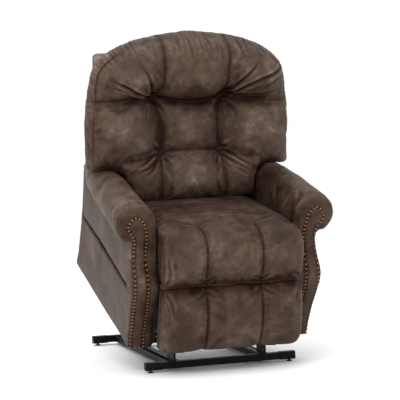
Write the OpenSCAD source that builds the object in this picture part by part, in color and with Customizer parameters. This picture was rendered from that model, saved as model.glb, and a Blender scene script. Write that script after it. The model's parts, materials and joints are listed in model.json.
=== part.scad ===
// Powered lift recliner chair, drawn in the raised, forward-tilted position.
// +Z up, +X to the sitter's left, the chair faces -Y, origin under the middle
// of the bounding box on the floor.

/* [Chair] */
// Half width over the side panels at the bottom
side_half_w = 350; // [340:1:360]
// Depth of the side panels
side_depth = 785; // [770:1:800]
// Height of the seam between the lower and upper side panels, at the front
seam_front_z = 252; // [235:1:265]
// Height of the same seam at the rear
seam_rear_z = 222; // [210:1:235]
// Outer radius of the rolled arm at its front
roll_r = 78; // [70:1:80]
// Half width of the back over its wings
back_half_w = 398; // [370:1:400]
// Height of the top of the back above the bottom of the arms
back_top = 1026; // [990:1:1030]

/* [Nails] */
// Diameter of a nail head
nail_d = 10; // [8:0.5:11]
// Distance between neighbouring nails
nail_pitch = 15.2; // [14:0.1:18]

/* [Base] */
// Length of the front and rear floor bars
bar_len = 583; // [560:1:600]
// Side of the square floor bars
bar_s = 26; // [24:1:28]
// Distance from the front face of the front bar to the rear face of the rear bar
base_depth = 833; // [820:1:840]
// Height of the floor feet
foot_h = 11; // [9:0.5:12]

/* [Position] */
// Forward tilt of the raised chair
tilt = 18.4; // [18.4]
// Distance of the arm fronts behind the front bar, raised
raised_y = 23; // [23]
// Height of the arm fronts above the floor, raised
raised_z = 89; // [89]

/* [Linkage] */
// Height of the four floor pivots of the lift links
base_pivot_z = 120; // [120]
// Lift arm pivot on the chair, distance back and height
arm_pivot = [220, 80];
// Stabiliser pivot on the chair, distance back and height
link_pivot = [640, 75];
// Thickness of the lift arms and stabilisers
link_t = 8; // [6:1:8]

/* [Hidden] */
$fn = 48;
// half of the overall depth, so that the origin is under the middle
y_mid = 298.889;
lowered_y = 20;
lowered_z = 42;

steel = [0.07, 0.07, 0.075];
zinc = [0.62, 0.62, 0.6];
hide = [0.31, 0.26, 0.22];
hide2 = [0.36, 0.30, 0.26];
timber = [0.72, 0.58, 0.4];
bronze = [0.45, 0.3, 0.18];
black = [0.05, 0.05, 0.05];

// frames
module W() translate([0, -y_mid, 0]) children();
module C() translate([0, raised_y - y_mid, raised_z]) rotate([tilt, 0, 0]) children();
module side(s) { if (s > 0) children(); else mirror([1, 0, 0]) children(); }
function c2w(p) = [raised_y + p[0]*cos(tilt) - p[1]*sin(tilt), raised_z + p[0]*sin(tilt) + p[1]*cos(tilt)];
function lo2w(p) = [lowered_y + p[0], lowered_z + p[1]];
// the floor pivot lies on the perpendicular bisector of the chair pivot's two places
function floor_pivot(p) = let (A = lo2w(p), B = c2w(p), m = (A+B)/2, d = B-A, n = [d[1], -d[0]]/norm(d))
  m + (base_pivot_z - m[1])/n[1]*n;
PA = floor_pivot(arm_pivot);
PB = floor_pivot(link_pivot);
P1 = c2w(arm_pivot);
P2 = c2w(link_pivot);
arm_ang = atan2(P1[1]-PA[1], P1[0]-PA[0]);
// torque tube centre on the lift arm, along the arm and above it
tq = PA + 120*[cos(arm_ang), sin(arm_ang)] + 45*[-sin(arm_ang), cos(arm_ang)];
// lift actuator
act_b = [690, 62];
act_c = [205, 150];
act_cw = c2w(act_c);
act_ang = atan2(act_cw[1]-act_b[1], act_cw[0]-act_b[0]);
act_len = norm(act_cw - act_b);
// lost motion of the two rod eyes, along the rod and across it
lost_lift = [-7.6, -8.9];
lost_rec = [-0.6, -3.5];
// back hinge and recline actuator
hinge = [545, 250];
crank = hinge + 95.5*[cos(-95), sin(-95)];
rec_a = [190, 222];
rec_ang = atan2(crank[1]-rec_a[1], crank[0]-rec_a[0]);
rec_len = norm(crank - rec_a);
// footrest linkage, two parallelograms
fa0 = [75, 268];
flen = 200;
fdir = [cos(-80), sin(-80)];
fa1 = fa0 + flen*fdir;
fofs = [40, -25];
fb0 = fa0 + fofs;
fb1 = fa1 + fofs;
fq = [-38, 240];
fe = 40*fdir;
// rear face of the back
function yr(z) = 712 + (z - 925)*0.18;

module XE(x0, x1) translate([x0, 0, 0]) rotate([90, 0, 90]) linear_extrude(x1 - x0) children();
module YE(y0, y1) translate([0, y1, 0]) rotate([90, 0, 0]) linear_extrude(y1 - y0) children();
module XC(p, x0, x1, r) translate([x0, p[0], p[1]]) rotate([0, 90, 0]) cylinder(h = x1 - x0, r = r);
module bar2(p, q, w) {
  translate(p) circle(w/2);
  translate(q) circle(w/2);
  // the neck is a little narrower than the round ends
  translate(p) rotate(atan2(q[1]-p[1], q[0]-p[0])) translate([0, -0.47*w]) square([norm(q-p), 0.94*w]);
}
module hole2(p, r) translate(p) circle(r);

// ---------------- base
module bar(y) W() translate([0, y, foot_h]) difference() {
  translate([-bar_len/2 + 4, 0, 0]) cube([bar_len - 8, bar_s, bar_s]);
  translate([-bar_len/2, 2, 2]) cube([bar_len, bar_s - 4, bar_s - 4]);
}
module base_front_tube() color(steel) bar(0);
module base_rear_tube() color(steel) bar(base_depth - bar_s);
module rail(s) color(steel) W() side(s) {
  difference() {
    translate([156, bar_s, foot_h]) cube([24, base_depth - 2*bar_s, bar_s]);
    translate([158, bar_s - 1, foot_h + 2]) cube([20, base_depth - 2*bar_s + 2, bar_s - 4]);
  }
  // angle flange welded along the outside of the rail
  translate([180, bar_s, foot_h]) cube([18, base_depth - 2*bar_s, 3]);
  translate([195, bar_s, foot_h + 3]) cube([3, base_depth - 2*bar_s, bar_s - 6]);
}
module base_rail_left() rail(-1);
module base_rail_right() rail(1);
module base_cross_tube() color(steel) W() {
  difference() {
    translate([-156, act_b[0] - 12, foot_h]) cube([312, 24, 24]);
    translate([-157, act_b[0] - 10, foot_h + 2]) cube([314, 20, 20]);
  }
  for (x = [-27, 22]) difference() {
    XE(x, x + 5) { translate([act_b[0] - 15, foot_h + 24]) square([30, act_b[1] - foot_h - 24]); hole2(act_b, 15); }
    XC(act_b, x - 1, x + 6, 6.05);
  }
}
module base_end_caps() color(steel) W() for (s = [-1, 1]) for (y = [0, base_depth - bar_s]) side(s)
  difference() {
    translate([bar_len/2 - 62, y - 1.5, foot_h - 1.5]) cube([62, bar_s + 3, bar_s + 3]);
    translate([bar_len/2 - 63, y, foot_h]) cube([59, bar_s, bar_s]);
  }
module floor_feet() color(steel) W() for (s = [-1, 1]) for (y = [bar_s/2, base_depth - bar_s/2]) side(s)
  translate([bar_len/2 - 21, y, 0]) {
    cylinder(h = 4, r = 11);
    translate([0, 0, 4]) cylinder(h = foot_h - 5.5, r = 5);
  }
module upright(s) color(steel) W() side(s) difference() {
  XE(172, 180) {
    polygon([[14, foot_h + bar_s], [104, foot_h + bar_s], [PB[0] + 14, base_pivot_z], [PA[0] - 14, base_pivot_z]]);
    hole2(PA, 14);
    hole2(PB, 14);
    translate([PA[0], base_pivot_z]) square([PB[0] - PA[0], 12]);
  }
  XC(PA, 170, 182, 6.02);
  XC(PB, 170, 182, 6.02);
}
module lift_upright_left() upright(-1);
module lift_upright_right() upright(1);
module base_pivot_pins() color(zinc) W() for (s = [-1, 1]) side(s) {
  XC(PA, 170, 196, 6);
  XC(PA, 192.6, 196, 10);
  XC(PB, 154, 182, 6);
  XC(PB, 154, 157.6, 10);
}
// ---------------- lift links
module liftarm(s) color(steel) W() side(s) difference() {
  XE(184, 184 + link_t) {
    bar2(PA, P1, 26);
    bar2(tq, PA + 60*[cos(arm_ang), sin(arm_ang)], 26);
    bar2(tq, PA + 180*[cos(arm_ang), sin(arm_ang)], 16);
    translate(tq) circle(19);
  }
  XC(PA, 183, 193, 6.05);
  XC(P1, 183, 193, 6.05);
  XC(tq, 183, 193, 14);
}
module lift_arm_left() liftarm(-1);
module lift_arm_right() liftarm(1);
module lift_torque_tube() color(steel) W() difference() {
  XC(tq, -192, 192, 14);
  XC(tq, -193, 193, 11.5);
}
module stabiliser_links() color(steel) W() for (s = [-1, 1]) side(s) difference() {
  XE(160, 160 + link_t) bar2(PB, P2, 25);
  XC(PB, 159, 169, 6.05);
  XC(P2, 159, 169, 7.2);
}
// ---------------- linear actuators, drawn along +Y from the rear pivot
module act_body(len, side_x) {
  difference() {
    union() {
      translate([-14, -14, -14]) cube([28, 40, 28]);
      translate([-24, 24, -24]) cube([48, 66, 48]);
      translate([0, 88, 0]) rotate([-90, 0, 0]) cylinder(h = len - 88, r = 17);
      translate([side_x > 0 ? 23 : -23, 57, 0]) rotate([0, side_x > 0 ? 90 : -90, 0]) cylinder(h = 88, r = 21);
      translate([side_x > 0 ? 110 : -110, 57, 0]) rotate([0, side_x > 0 ? 90 : -90, 0]) cylinder(h = 8, r = 17);
    }
    rotate([0, 90, 0]) translate([0, 0, -40]) cylinder(h = 80, r = 6.05);
    translate([0, 96, 0]) rotate([-90, 0, 0]) cylinder(h = len, r = 10.05);
  }
}
module act_rod(from, len, p1, p2) difference() {
  union() {
    translate([0, from, 0]) rotate([-90, 0, 0]) cylinder(h = len - from - 14, r = 10);
    // flat eye with a lost-motion slot
    XE(-8, 8) translate([len, 0]) bar2(p1, p2, 27);
  }
  XE(-10, 10) translate([len, 0]) bar2(p1, p2, 14.6);
}
module act_place(p, a) translate([0, p[0], p[1]]) rotate([a, 0, 0]) children();
module lift_motor_unit() color(black) W() act_place(act_b, act_ang) {
  act_body(330, -1);
  color(zinc) rotate([0, 90, 0]) translate([0, 0, -30]) cylinder(h = 60, r = 6);
}
module lift_rod() color(zinc) W() act_place(act_b, act_ang) act_rod(190, act_len, [0, 0], lost_lift);
// ---------------- chair chassis
module chassis_plate(s) color(steel) C() side(s) difference() {
  union() {
    XE(197, 202) {
      polygon([[155, 116], [150, 106], [200, 62], [240, 62], [300, 100], [560, 100], [610, 56], [670, 56], [752, 60], [752, 92], [727, 92], [727, 104], [700, 116]]);
    }
    translate([202, 185, 112]) cube([26, 470, 4]);
  }
  XC(arm_pivot, 196, 203, 6.02);
  XC(link_pivot, 196, 203, 6.02);
}
module chassis_plate_left() chassis_plate(-1);
module chassis_plate_right() chassis_plate(1);
module xtube(p, w) difference() {
  union() {
    translate([-284, p[0] - w/2, p[1] - w/2]) cube([568, w, w]);
    for (s = [-1, 1]) side(s) difference() {
      translate([284, p[0] - 40, p[1] - 30]) cube([6, 80, 60]);
      for (d = [-28, 28]) XC(p + [d, 0], 283, 291, 4.1);
    }
  }
  translate([-285, p[0] - w/2 + 2, p[1] - w/2 + 2]) cube([570, w - 4, w - 4]);
}
front_tube = [168, 128.5];
rear_tube = [740, 104.5];
module chassis_front_tube() color(steel) C() {
  xtube(front_tube, 25);
  for (x = [-27, 22]) difference() {
    XE(x, x + 5) difference() {
      union() { translate([front_tube[0] + 12.5, front_tube[1] - 12.5]) square([14.5, 38]); hole2(act_c, 16); }
      translate([front_tube[0] - 12.5, front_tube[1] - 12.5]) square([25, 25]);
    }
    XC(act_c, x - 1, x + 6, 6.02);
  }
}
module chassis_rear_tube() color(steel) C() xtube(rear_tube, 25);
module chassis_pivot_pins() color(zinc) C() {
  for (s = [-1, 1]) side(s) {
    XC(arm_pivot, 180.5, 204, 6);
    XC(arm_pivot, 202, 206, 9);
    XC(arm_pivot, 180.5, 183.6, 9);
    XC(link_pivot, 155, 204, 6);
    XC(link_pivot, 202, 206, 9);
    XC(link_pivot, 155, 159.4, 10);
  }
  XC(act_c, -30, 30, 6);
}
module arm_bolts() color(zinc) C() for (s = [-1, 1]) for (p = [front_tube, rear_tube]) for (d = [-28, 28]) side(s) {
  XC(p + [d, 0], 284, 326, 4);
  translate([279, p[0] + d, p[1]]) rotate([0, 90, 0]) cylinder(h = 5, r = 7.5, $fn = 6);
}
// ---------------- arms
module arm_frame(s) color(timber) C() side(s) {
  translate([328.2, 20, 8]) cube([9.6, side_depth - 20, 417.8]);
  translate([290, 20, 8]) cube([38, 60, 417.8]);
  difference() {
    union() {
      translate([290, side_depth - 70, 8]) cube([38, 70, 417.8]);
      translate([290, 80.2, 84]) cube([38, side_depth - 150.4, 70]);
    }
    for (p = [front_tube, rear_tube]) for (d = [-28, 28]) XC(p + [d, 0], 289, 330, 4.05);
  }
  translate([290, 80.2, 380]) cube([38, side_depth - 150.4, 45.8]);
}
module arm_frame_left() arm_frame(-1);
module arm_frame_right() arm_frame(1);
module arm_inner(s) color(hide) C() side(s) translate([261, 20, 164]) cube([28.8, side_depth - 20, 261.8]);
module arm_inner_left() arm_inner(-1);
module arm_inner_right() arm_inner(1);
module seam_region(up) XE(300, 400)
  polygon(up ? [[-10, seam_front_z + 1.5], [side_depth + 10, seam_rear_z + 1.5], [side_depth + 10, 500], [-10, 500]]
             : [[-10, -10], [side_depth + 10, -10], [side_depth + 10, seam_rear_z - 1.5], [-10, seam_front_z - 1.5]]);
module side_profile() polygon([[338, 0], [side_half_w, 0], [side_half_w + 17, 282], [side_half_w + 5, 395],
  [side_half_w + 5, 426], [338, 426]]);
module arm_side(s) color(hide2) C() side(s) intersection() {
  YE(20, side_depth) side_profile();
  seam_region(true);
}
module arm_side_left() arm_side(-1);
module arm_side_right() arm_side(1);
module lower_side(s) color(hide) C() side(s) intersection() {
  YE(20, side_depth) side_profile();
  seam_region(false);
}
module lower_side_left() lower_side(-1);
module lower_side_right() lower_side(1);
roll_c = [341, 494];
module slice(y, c, r) translate([c[0], y, c[1]]) rotate([-90, 0, 0]) cylinder(h = 1, r = r, $fn = 40);
module arm_roll(s) color(hide2) C() side(s) difference() {
  union() {
    hull() { slice(20, roll_c, roll_r); slice(265, [337, 480], roll_r - 5); }
    hull() { slice(265, [337, 480], roll_r - 5); slice(415, [331, 466], roll_r - 9); }
    hull() { slice(415, [331, 466], roll_r - 9); slice(600, [326, 452], 58); }
    hull() { slice(600, [326, 452], 58); slice(690, [321, 434], 41); }
    hull() { slice(690, [321, 434], 41); slice(side_depth - 1, [320, 426], 36); }
  }
  translate([200, 0, 300]) cube([300, 900, 126]);
  // sloping top at the rear, where the reclining back passes over
  XE(200, 500) polygon([[470, 530], [800, 446], [800, 640], [470, 640]]);
}
module arm_roll_left() arm_roll(-1);
module arm_roll_right() arm_roll(1);
// side view of the padded arm front: it bulges forward below the roll
module front_profile() polygon([[20, 0], [-2, 0], [-6, 60], [-24, 130], [-46, 190], [-60, 240], [-63, 275],
  [-50, 310], [-26, 340], [-8, 362], [-2, 400], [-6, 450], [-8, 500], [-4, 545], [4, 574], [20, 574]]);
module front_outline() {
  polygon([[261, 0], [side_half_w, 0], [side_half_w + 17, 282], [side_half_w + 5, 395], [side_half_w + 8, 430],
    [300, 494], [261, 494]]);
  translate(roll_c) circle(roll_r);
}
module arm_front(s) color(hide2) C() side(s) intersection() {
  XE(240, 440) front_profile();
  YE(-100, 20) front_outline();
}
module arm_front_left() arm_front(-1);
module arm_front_right() arm_front(1);
// outline that the nails follow, seen from the front, from the lower inner corner
nail_path = [[295, 12], [296, 110], [299, 200], [301, 272], [303, 350], [300, 428], [303, 462], [310, 494], [322, 516],
  [341, 526], [358, 518], [371, 500], [373, 484], [364, 468], [348, 446], [344, 424], [346, 390], [350, 282], [346, 150], [343, 12]];
bottom_path = [[343, 12], [295, 12]];
function plen(p, i = 0) = i >= len(p) - 1 ? 0 : norm(p[i+1] - p[i]) + plen(p, i + 1);
function pat(p, d, i = 0) = i >= len(p) - 2 || d <= norm(p[i+1] - p[i])
  ? p[i] + (p[i+1] - p[i])*min(1, d/norm(p[i+1] - p[i])) : pat(p, d - norm(p[i+1] - p[i]), i + 1);
// front face as points of [z, y]
face = [[0, -2], [60, -6], [130, -24], [190, -46], [240, -60], [275, -63], [310, -50], [340, -26], [362, -8],
  [400, -2], [450, -6], [500, -8], [545, -4], [574, 4]];
function fy(z, i = 0) = z <= face[i+1][0] || i >= len(face) - 2
  ? face[i][1] + (face[i+1][1] - face[i][1])*(z - face[i][0])/(face[i+1][0] - face[i][0]) : fy(z, i + 1);
function fa(z, i = 0) = z <= face[i+1][0] || i >= len(face) - 2
  ? atan2(face[i+1][1] - face[i][1], face[i+1][0] - face[i][0]) : fa(z, i + 1);
module nail(p) translate([p[0], fy(p[1]), p[1]]) rotate([-fa(p[1]), 0, 0]) {
  // flattened dome on a short shank
  rotate([90, 0, 0]) rotate_extrude() intersection() {
    translate([0, -nail_d*0.33]) circle(r = nail_d*0.6);
    square([nail_d/2, nail_d]);
  }
  rotate([-90, 0, 0]) cylinder(h = 6, r = 1, $fn = 24);
}
module nailheads() color(bronze) C() for (s = [-1, 1]) side(s) {
  n = floor(plen(nail_path)/nail_pitch);
  for (i = [0:n]) nail(pat(nail_path, i*plen(nail_path)/n));
  for (i = [1:2]) nail(pat(bottom_path, i*16));
}
// ---------------- power and handset
module power_supply() color(black) C() {
  difference() {
    translate([-146, 181, 118]) cube([90, 130, 40]);
    // inlet for the mains lead
    translate([-101, 303, 138]) rotate([-90, 0, 0]) cylinder(h = 20, r = 9);
  }
}
module handset_pocket() color(hide) C() difference() {
  translate([350, 213, 262]) rotate([0, 3.45, 0]) cube([36, 78, 80]);
  hs() translate([0.4, 31.4, -0.6]) cube([16.2, 51.2, 104]);
  YE(0, 700) side_profile();
}
module hs() translate([354, 195, 262]) rotate([0, 3.45, 0]) translate([14, 0, 12]) children();
module handset() color(black) C() hs() difference() {
  translate([1, 32, 0.2]) cube([15, 50, 132]);
  translate([11, 42, 82]) cube([6, 30, 18]);
  translate([11, 42, 106]) cube([6, 30, 18]);
  translate([8.5, 57, -1]) cylinder(h = 12, r = 3.5);
}
module key(z) hs() translate([13.2, 42.4, z + 0.4]) cube([4.8, 29.2, 17.2]);
module button_up() color(zinc) C() key(106);
module button_down() color(zinc) C() key(82);
// ---------------- seat
module seat_plate(s) color(steel) C() side(s) difference() {
  XE(206, 210) polygon([[52, 292], [52, 245], [92, 222], [150, 222], [225, 150], [232, 116.3], [560, 116.3], [566, 190], [566, 268], [470, 300], [200, 300]]);
  XC(fa0, 205, 211, 6.02);
  XC(fb0, 205, 211, 6.02);
  XC(hinge, 205, 211, 8.05);
}
module seat_frame_left() seat_plate(-1);
module seat_frame_right() seat_plate(1);
module seat_rails() {
  color(timber) C() {
    translate([-256, -44, 296]) cube([512, 26, 44]);
    translate([-256, 462, 302]) cube([512, 26, 38]);
    for (s = [-1, 1]) side(s) {
      translate([234, -17.8, 302]) cube([22, 479.6, 38]);
      // outriggers that carry the wooden rails from the steel side plates
      for (y = [210, 430]) translate([200, y, 300.2]) cube([34.2, 22, 16]);
    }
  }
  color(steel) C() {
    difference() {
      translate([-206, rec_a[0] - 42, rec_a[1] - 11]) cube([412, 22, 22]);
      translate([-207, rec_a[0] - 40, rec_a[1] - 9]) cube([414, 18, 18]);
    }
    for (x = [43, 92]) difference() {
      XE(x, x + 5) { translate([rec_a[0] - 20, rec_a[1] - 14]) square([20, 28]); hole2(rec_a, 14); }
      XC(rec_a, x - 1, x + 6, 6.05);
    }
  }
}
// zig-zag springs across the seat frame, front to rear
module zig(n, w, p) for (i = [0:n-1]) translate([0, i*p, 0]) {
  rotate([0, 90, 0]) translate([0, 0, -w/2]) cylinder(h = w, r = 2, $fn = 16);
  if (i < n - 1) translate([i % 2 == 0 ? w/2 : -w/2, p/2, 0]) rotate([0, 0, i % 2 == 0 ? -90 : 90])
    rotate_extrude(angle = 180, $fn = 16) translate([p/2, 0]) circle(2, $fn = 16);
}
module seat_springs() color(zinc) C() for (x = [-188, -94, 0, 94, 188]) translate([x, -14, 338]) zig(19, 40, 26.3);
module seat_profile() polygon([[-62, 286], [-100, 287], [-124, 300], [-136, 330], [-140, 370], [-134, 420], [-112, 458], [-76, 478],
  [-30, 482], [60, 472], [200, 446], [330, 420], [420, 402], [486, 390], [486, 340.2], [-44, 340.2], [-62, 340.2]]);
module seat_cushion() color(hide2) C() intersection() {
  XE(-262, 262) seat_profile();
  union() {
    translate([-262, -200, 200]) cube([524, 133, 400]);
    translate([-256, -70, 200]) cube([512, 610, 400]);
  }
}
module footrest_gearmotor() color(black) C() {
  difference() {
    union() {
      translate([-28, fa0[0] - 24, fa0[1] - 26]) cube([56, 60, 52]);
      translate([0, fa0[0] + 34, fa0[1] - 8]) rotate([-90, 0, 0]) cylinder(h = 84, r = 22);
      // saddle on the cross tube of the seat frame
      translate([-15, 150, rec_a[1] + 11]) cube([30, 18, 14]);
    }
    XC(fa0, -29, 29, 9.05);
  }
}
// ---------------- back
module recline_motor_unit() color(black) C() translate([70, 0, 0]) act_place(rec_a, rec_ang) {
  act_body(250, -1);
  color(zinc) rotate([0, 90, 0]) translate([0, 0, -27]) cylinder(h = 54, r = 6);
}
module recline_rod() color(zinc) C() translate([70, 0, 0]) act_place(rec_a, rec_ang) act_rod(150, rec_len, [0, 0], lost_rec);
module back_poly(z0, z1, d0, d1) polygon([[yr(z0) - d1, z0], [yr(z0) - d0, z0], [yr(z1) - d0, z1], [yr(z1) - d1, z1]]);
module back_frame() color(timber) C() {
  for (s = [-1, 1]) side(s) difference() {
    XE(217, 240) back_poly(224, 918, 14, 60);
    XC(hinge, 210, 250, 8.05);
  }
  XE(-204, 204) back_poly(262, 310, 34, 60);
  XE(-204, 204) back_poly(345, 385, 14, 34);
  XE(-216.8, 216.8) back_poly(560, 620, 14, 40);
  XE(-216.8, 216.8) back_poly(858, 918, 14, 60);
  for (s = [-1, 1]) side(s) XE(240.2, 338) back_poly(600, 880, 14, 40);
}
module back_hinges() color(zinc) C() {
  for (s = [-1, 1]) side(s) {
    XC(hinge, 200, 244, 8);
    XC(hinge, 200, 205.7, 12);
    XC(hinge, 240, 244, 12);
    XE(212, 217) difference() {
      union() { back_poly(250, 500, 24, 56); hole2(hinge, 19); }
      hole2(hinge, 8);
    }
  }
  // crank that the recline actuator pulls
  for (x = [54, 81]) XE(x, x + 5) { hole2(crank, 15); translate([crank[0] - 14, crank[1]]) square([28, 262 - crank[1]]); }
  XC(crank, 50, 90, 6);
}
module back_side() polygon([[430, 404], [398, 430], [384, 468], [392, 520], [432, 580], [452, 690], [470, 790], [466, 870],
  [480, 940], [520, 995], [575, 1020], [612, back_top], [652, 1010], [661, 990], [yr(930) - 60.3, 930], [yr(404) - 60.3, 404]]);
module back_outline() polygon([for (s = [1]) each [[256, 400], [256, 546], [back_half_w - 8, 546], [back_half_w, 600],
  [back_half_w, 785], [back_half_w - 8, 842], [381, 889], [366, 925], [335, 950], [294, 975], [245, 995], [190, 1009], [130, 1018], [60, back_top + 1],
  [-60, back_top + 1], [-130, 1018], [-190, 1009], [-245, 995], [-294, 975], [-335, 950], [-366, 925], [-381, 889], [-back_half_w + 8, 842],
  [-back_half_w, 785], [-back_half_w, 600], [-back_half_w + 8, 546], [-256, 546], [-256, 400]]]);
module back_cushion() color(hide2) C() intersection() {
  XE(-400, 400) back_side();
  YE(300, 760) back_outline();
}
module outside_back() color(hide) C() intersection() {
  XE(-345, 345) back_poly(250, 922, 0, 13.7);
  YE(500, 760) polygon([[-256, 240], [256, 240], [256, 560], [345, 566], [345, 912], [335, 930], [-335, 930], [-345, 912], [-345, 566], [-256, 560]]);
}
// ---------------- footrest
module footrest_links() color(steel) C() for (s = [-1, 1]) side(s) difference() {
  XE(212, 217) bar2(fa0, fa1 + fe, 22);
  XC(fa0, 211, 218, 9);
  XC(fa1, 211, 218, 5.05);
  XC(fa1 + fe, 211, 218, 5.05);
}
module footrest_shaft() color(zinc) C() difference() {
  XC(fa0, -219, 219, 9);
  for (s = [-1, 1]) side(s) translate([205.5, 0, 0]) difference() { XC(fa0, 0, 5, 12); XC(fa0, -1, 6, 5.9); }
}
module footrest_guides() color(steel) C() for (s = [-1, 1]) side(s) {
  difference() { XE(212, 217) bar2(fb0, fb1, 22); XC(fb1, 211, 218, 5.4); }
  XC(fb0, 202, 212, 5.95);
  XC(fb0, 202, 205.6, 9);
}
module footrest_carriers() color(steel) C() for (s = [-1, 1]) side(s) difference() {
  union() {
    XE(219, 223) { bar2(fa1, fb1, 24); bar2(fa1, fq, 26); }
    XC(fa1, 211, 219, 5);
    XC(fb1, 211, 219, 5);
  }
  XC(fq, 218, 224, 5.05);
}
module footrest_tilt_rods() color(zinc) C() for (s = [-1, 1]) side(s) difference() {
  union() {
    XE(225, 229) bar2(fa1 + fe, fq + fe, 16);
    XC(fa1 + fe, 211, 225, 5);
  }
  XC(fq + fe, 224, 230, 5.4);
}
module footrest_board() {
  color(timber) C() translate([-258, -66, 30]) cube([516, 14, 232]);
  color(steel) C() for (s = [-1, 1]) side(s) {
    XE(231, 235) { translate([-52, 182]) square([10, 74]); bar2(fq, fq + fe, 20); translate([-50, 192]) square([12, 56]); }
    XC(fq, 218, 231, 5);
    XC(fq + fe, 224.4, 231, 5);
  }
}
module footrest_profile() polygon([[-66, 24], [-84, 22], [-110, 32], [-135, 44], [-157, 60], [-169, 86], [-175, 125], [-174, 165],
  [-168, 205], [-154, 240], [-134, 266], [-112, 281], [-66, 281]]);
module footrest_cushion() color(hide2) C() XE(-266, 266) footrest_profile();

base_front_tube();
base_rear_tube();
base_rail_left();
base_rail_right();
base_cross_tube();
base_end_caps();
floor_feet();
lift_upright_left();
lift_upright_right();
base_pivot_pins();
lift_arm_left();
lift_arm_right();
lift_torque_tube();
stabiliser_links();
lift_motor_unit();
lift_rod();
chassis_plate_left();
chassis_plate_right();
chassis_front_tube();
chassis_rear_tube();
chassis_pivot_pins();
arm_bolts();
arm_frame_left();
arm_frame_right();
arm_inner_left();
arm_inner_right();
arm_side_left();
arm_side_right();
lower_side_left();
lower_side_right();
arm_roll_left();
arm_roll_right();
arm_front_left();
arm_front_right();
nailheads();
power_supply();
handset_pocket();
handset();
button_up();
button_down();
seat_frame_left();
seat_frame_right();
seat_rails();
seat_springs();
seat_cushion();
footrest_gearmotor();
recline_motor_unit();
recline_rod();
back_frame();
back_hinges();
back_cushion();
outside_back();
footrest_links();
footrest_shaft();
footrest_guides();
footrest_carriers();
footrest_tilt_rods();
footrest_board();
footrest_cushion();
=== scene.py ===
import bpy, bmesh, json, math
import numpy as np
from mathutils import Vector, Matrix
from mathutils.geometry import delaunay_2d_cdt


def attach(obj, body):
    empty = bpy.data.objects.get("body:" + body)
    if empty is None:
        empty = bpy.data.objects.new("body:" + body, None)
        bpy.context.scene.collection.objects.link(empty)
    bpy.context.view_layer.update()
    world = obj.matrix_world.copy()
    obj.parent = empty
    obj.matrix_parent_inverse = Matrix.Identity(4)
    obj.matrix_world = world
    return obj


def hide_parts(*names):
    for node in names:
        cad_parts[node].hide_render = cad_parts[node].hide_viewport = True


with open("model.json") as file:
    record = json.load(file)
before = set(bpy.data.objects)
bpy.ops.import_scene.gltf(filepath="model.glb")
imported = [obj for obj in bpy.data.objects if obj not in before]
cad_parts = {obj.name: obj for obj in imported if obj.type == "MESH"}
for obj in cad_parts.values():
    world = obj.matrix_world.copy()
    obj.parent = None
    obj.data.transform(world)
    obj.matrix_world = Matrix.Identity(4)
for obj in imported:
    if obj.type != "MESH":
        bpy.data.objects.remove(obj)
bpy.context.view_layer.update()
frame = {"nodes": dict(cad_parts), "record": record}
scene = bpy.context.scene

# ------------------------------------------------------------------ frames
TILT = math.radians(18.4)
CT, ST = math.cos(TILT), math.sin(TILT)


def C(p):
    """chair millimetres -> row metres"""
    p = np.asarray(p, float) / 1000.0
    out = np.empty_like(p)
    out[..., 0] = p[..., 0]
    out[..., 1] = p[..., 1] * CT - p[..., 2] * ST + (0.023 - 0.298889)
    out[..., 2] = p[..., 1] * ST + p[..., 2] * CT + 0.089
    return out


def Ci(w):
    """row metres -> chair millimetres"""
    w = np.asarray(w, float)
    y = w[..., 1] - (0.023 - 0.298889)
    z = w[..., 2] - 0.089
    out = np.empty_like(w)
    out[..., 0] = w[..., 0]
    out[..., 1] = y * CT + z * ST
    out[..., 2] = -y * ST + z * CT
    return out * 1000.0


# ------------------------------------------------------------------ numeric helpers
def smooth01(t):
    t = np.clip(t, 0, 1)
    return t * t * (3 - 2 * t)


def vnoise(p, size, seed=0):
    """smooth value noise, -1..1, for points in millimetres"""
    q = np.asarray(p, float) / size + 31.7 + seed * 13.37
    i = np.floor(q).astype(np.int64)
    f = q - i
    f = f * f * f * (f * (f * 6 - 15) + 10)

    def h(dx, dy, dz):
        n = (i[:, 0] + dx) * 73856093 ^ (i[:, 1] + dy) * 19349663 ^ (i[:, 2] + dz) * 83492791 ^ (seed * 2654435 + 97)
        n = (n ^ (n >> 13)) * 1274126177
        n = n ^ (n >> 16)
        return (n & 0xFFFF) / 32767.5 - 1.0

    x, y, z = f.T
    a = h(0, 0, 0) * (1 - x) + h(1, 0, 0) * x
    b = h(0, 1, 0) * (1 - x) + h(1, 1, 0) * x
    c = h(0, 0, 1) * (1 - x) + h(1, 0, 1) * x
    d = h(0, 1, 1) * (1 - x) + h(1, 1, 1) * x
    return (a * (1 - y) + b * y) * (1 - z) + (c * (1 - y) + d * y) * z


def seg_dist(P, line, closed=False):
    """distance of 2D points to a polyline, the arc length of the nearest point, and the length of the line"""
    L = np.asarray(line, float)
    if closed:
        L = np.vstack([L, L[:1]])
    best = np.full(len(P), 1e9)
    arc = np.zeros(len(P))
    s0 = 0.0
    for a, b in zip(L[:-1], L[1:]):
        d = b - a
        n = float(np.hypot(*d))
        if n < 1e-9:
            continue
        t = np.clip(((P - a) @ d) / (n * n), 0, 1)
        q = np.hypot(P[:, 0] - a[0] - t * d[0], P[:, 1] - a[1] - t * d[1])
        m = q < best
        best[m] = q[m]
        arc[m] = s0 + t[m] * n
        s0 += n
    return best, arc, s0


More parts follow.
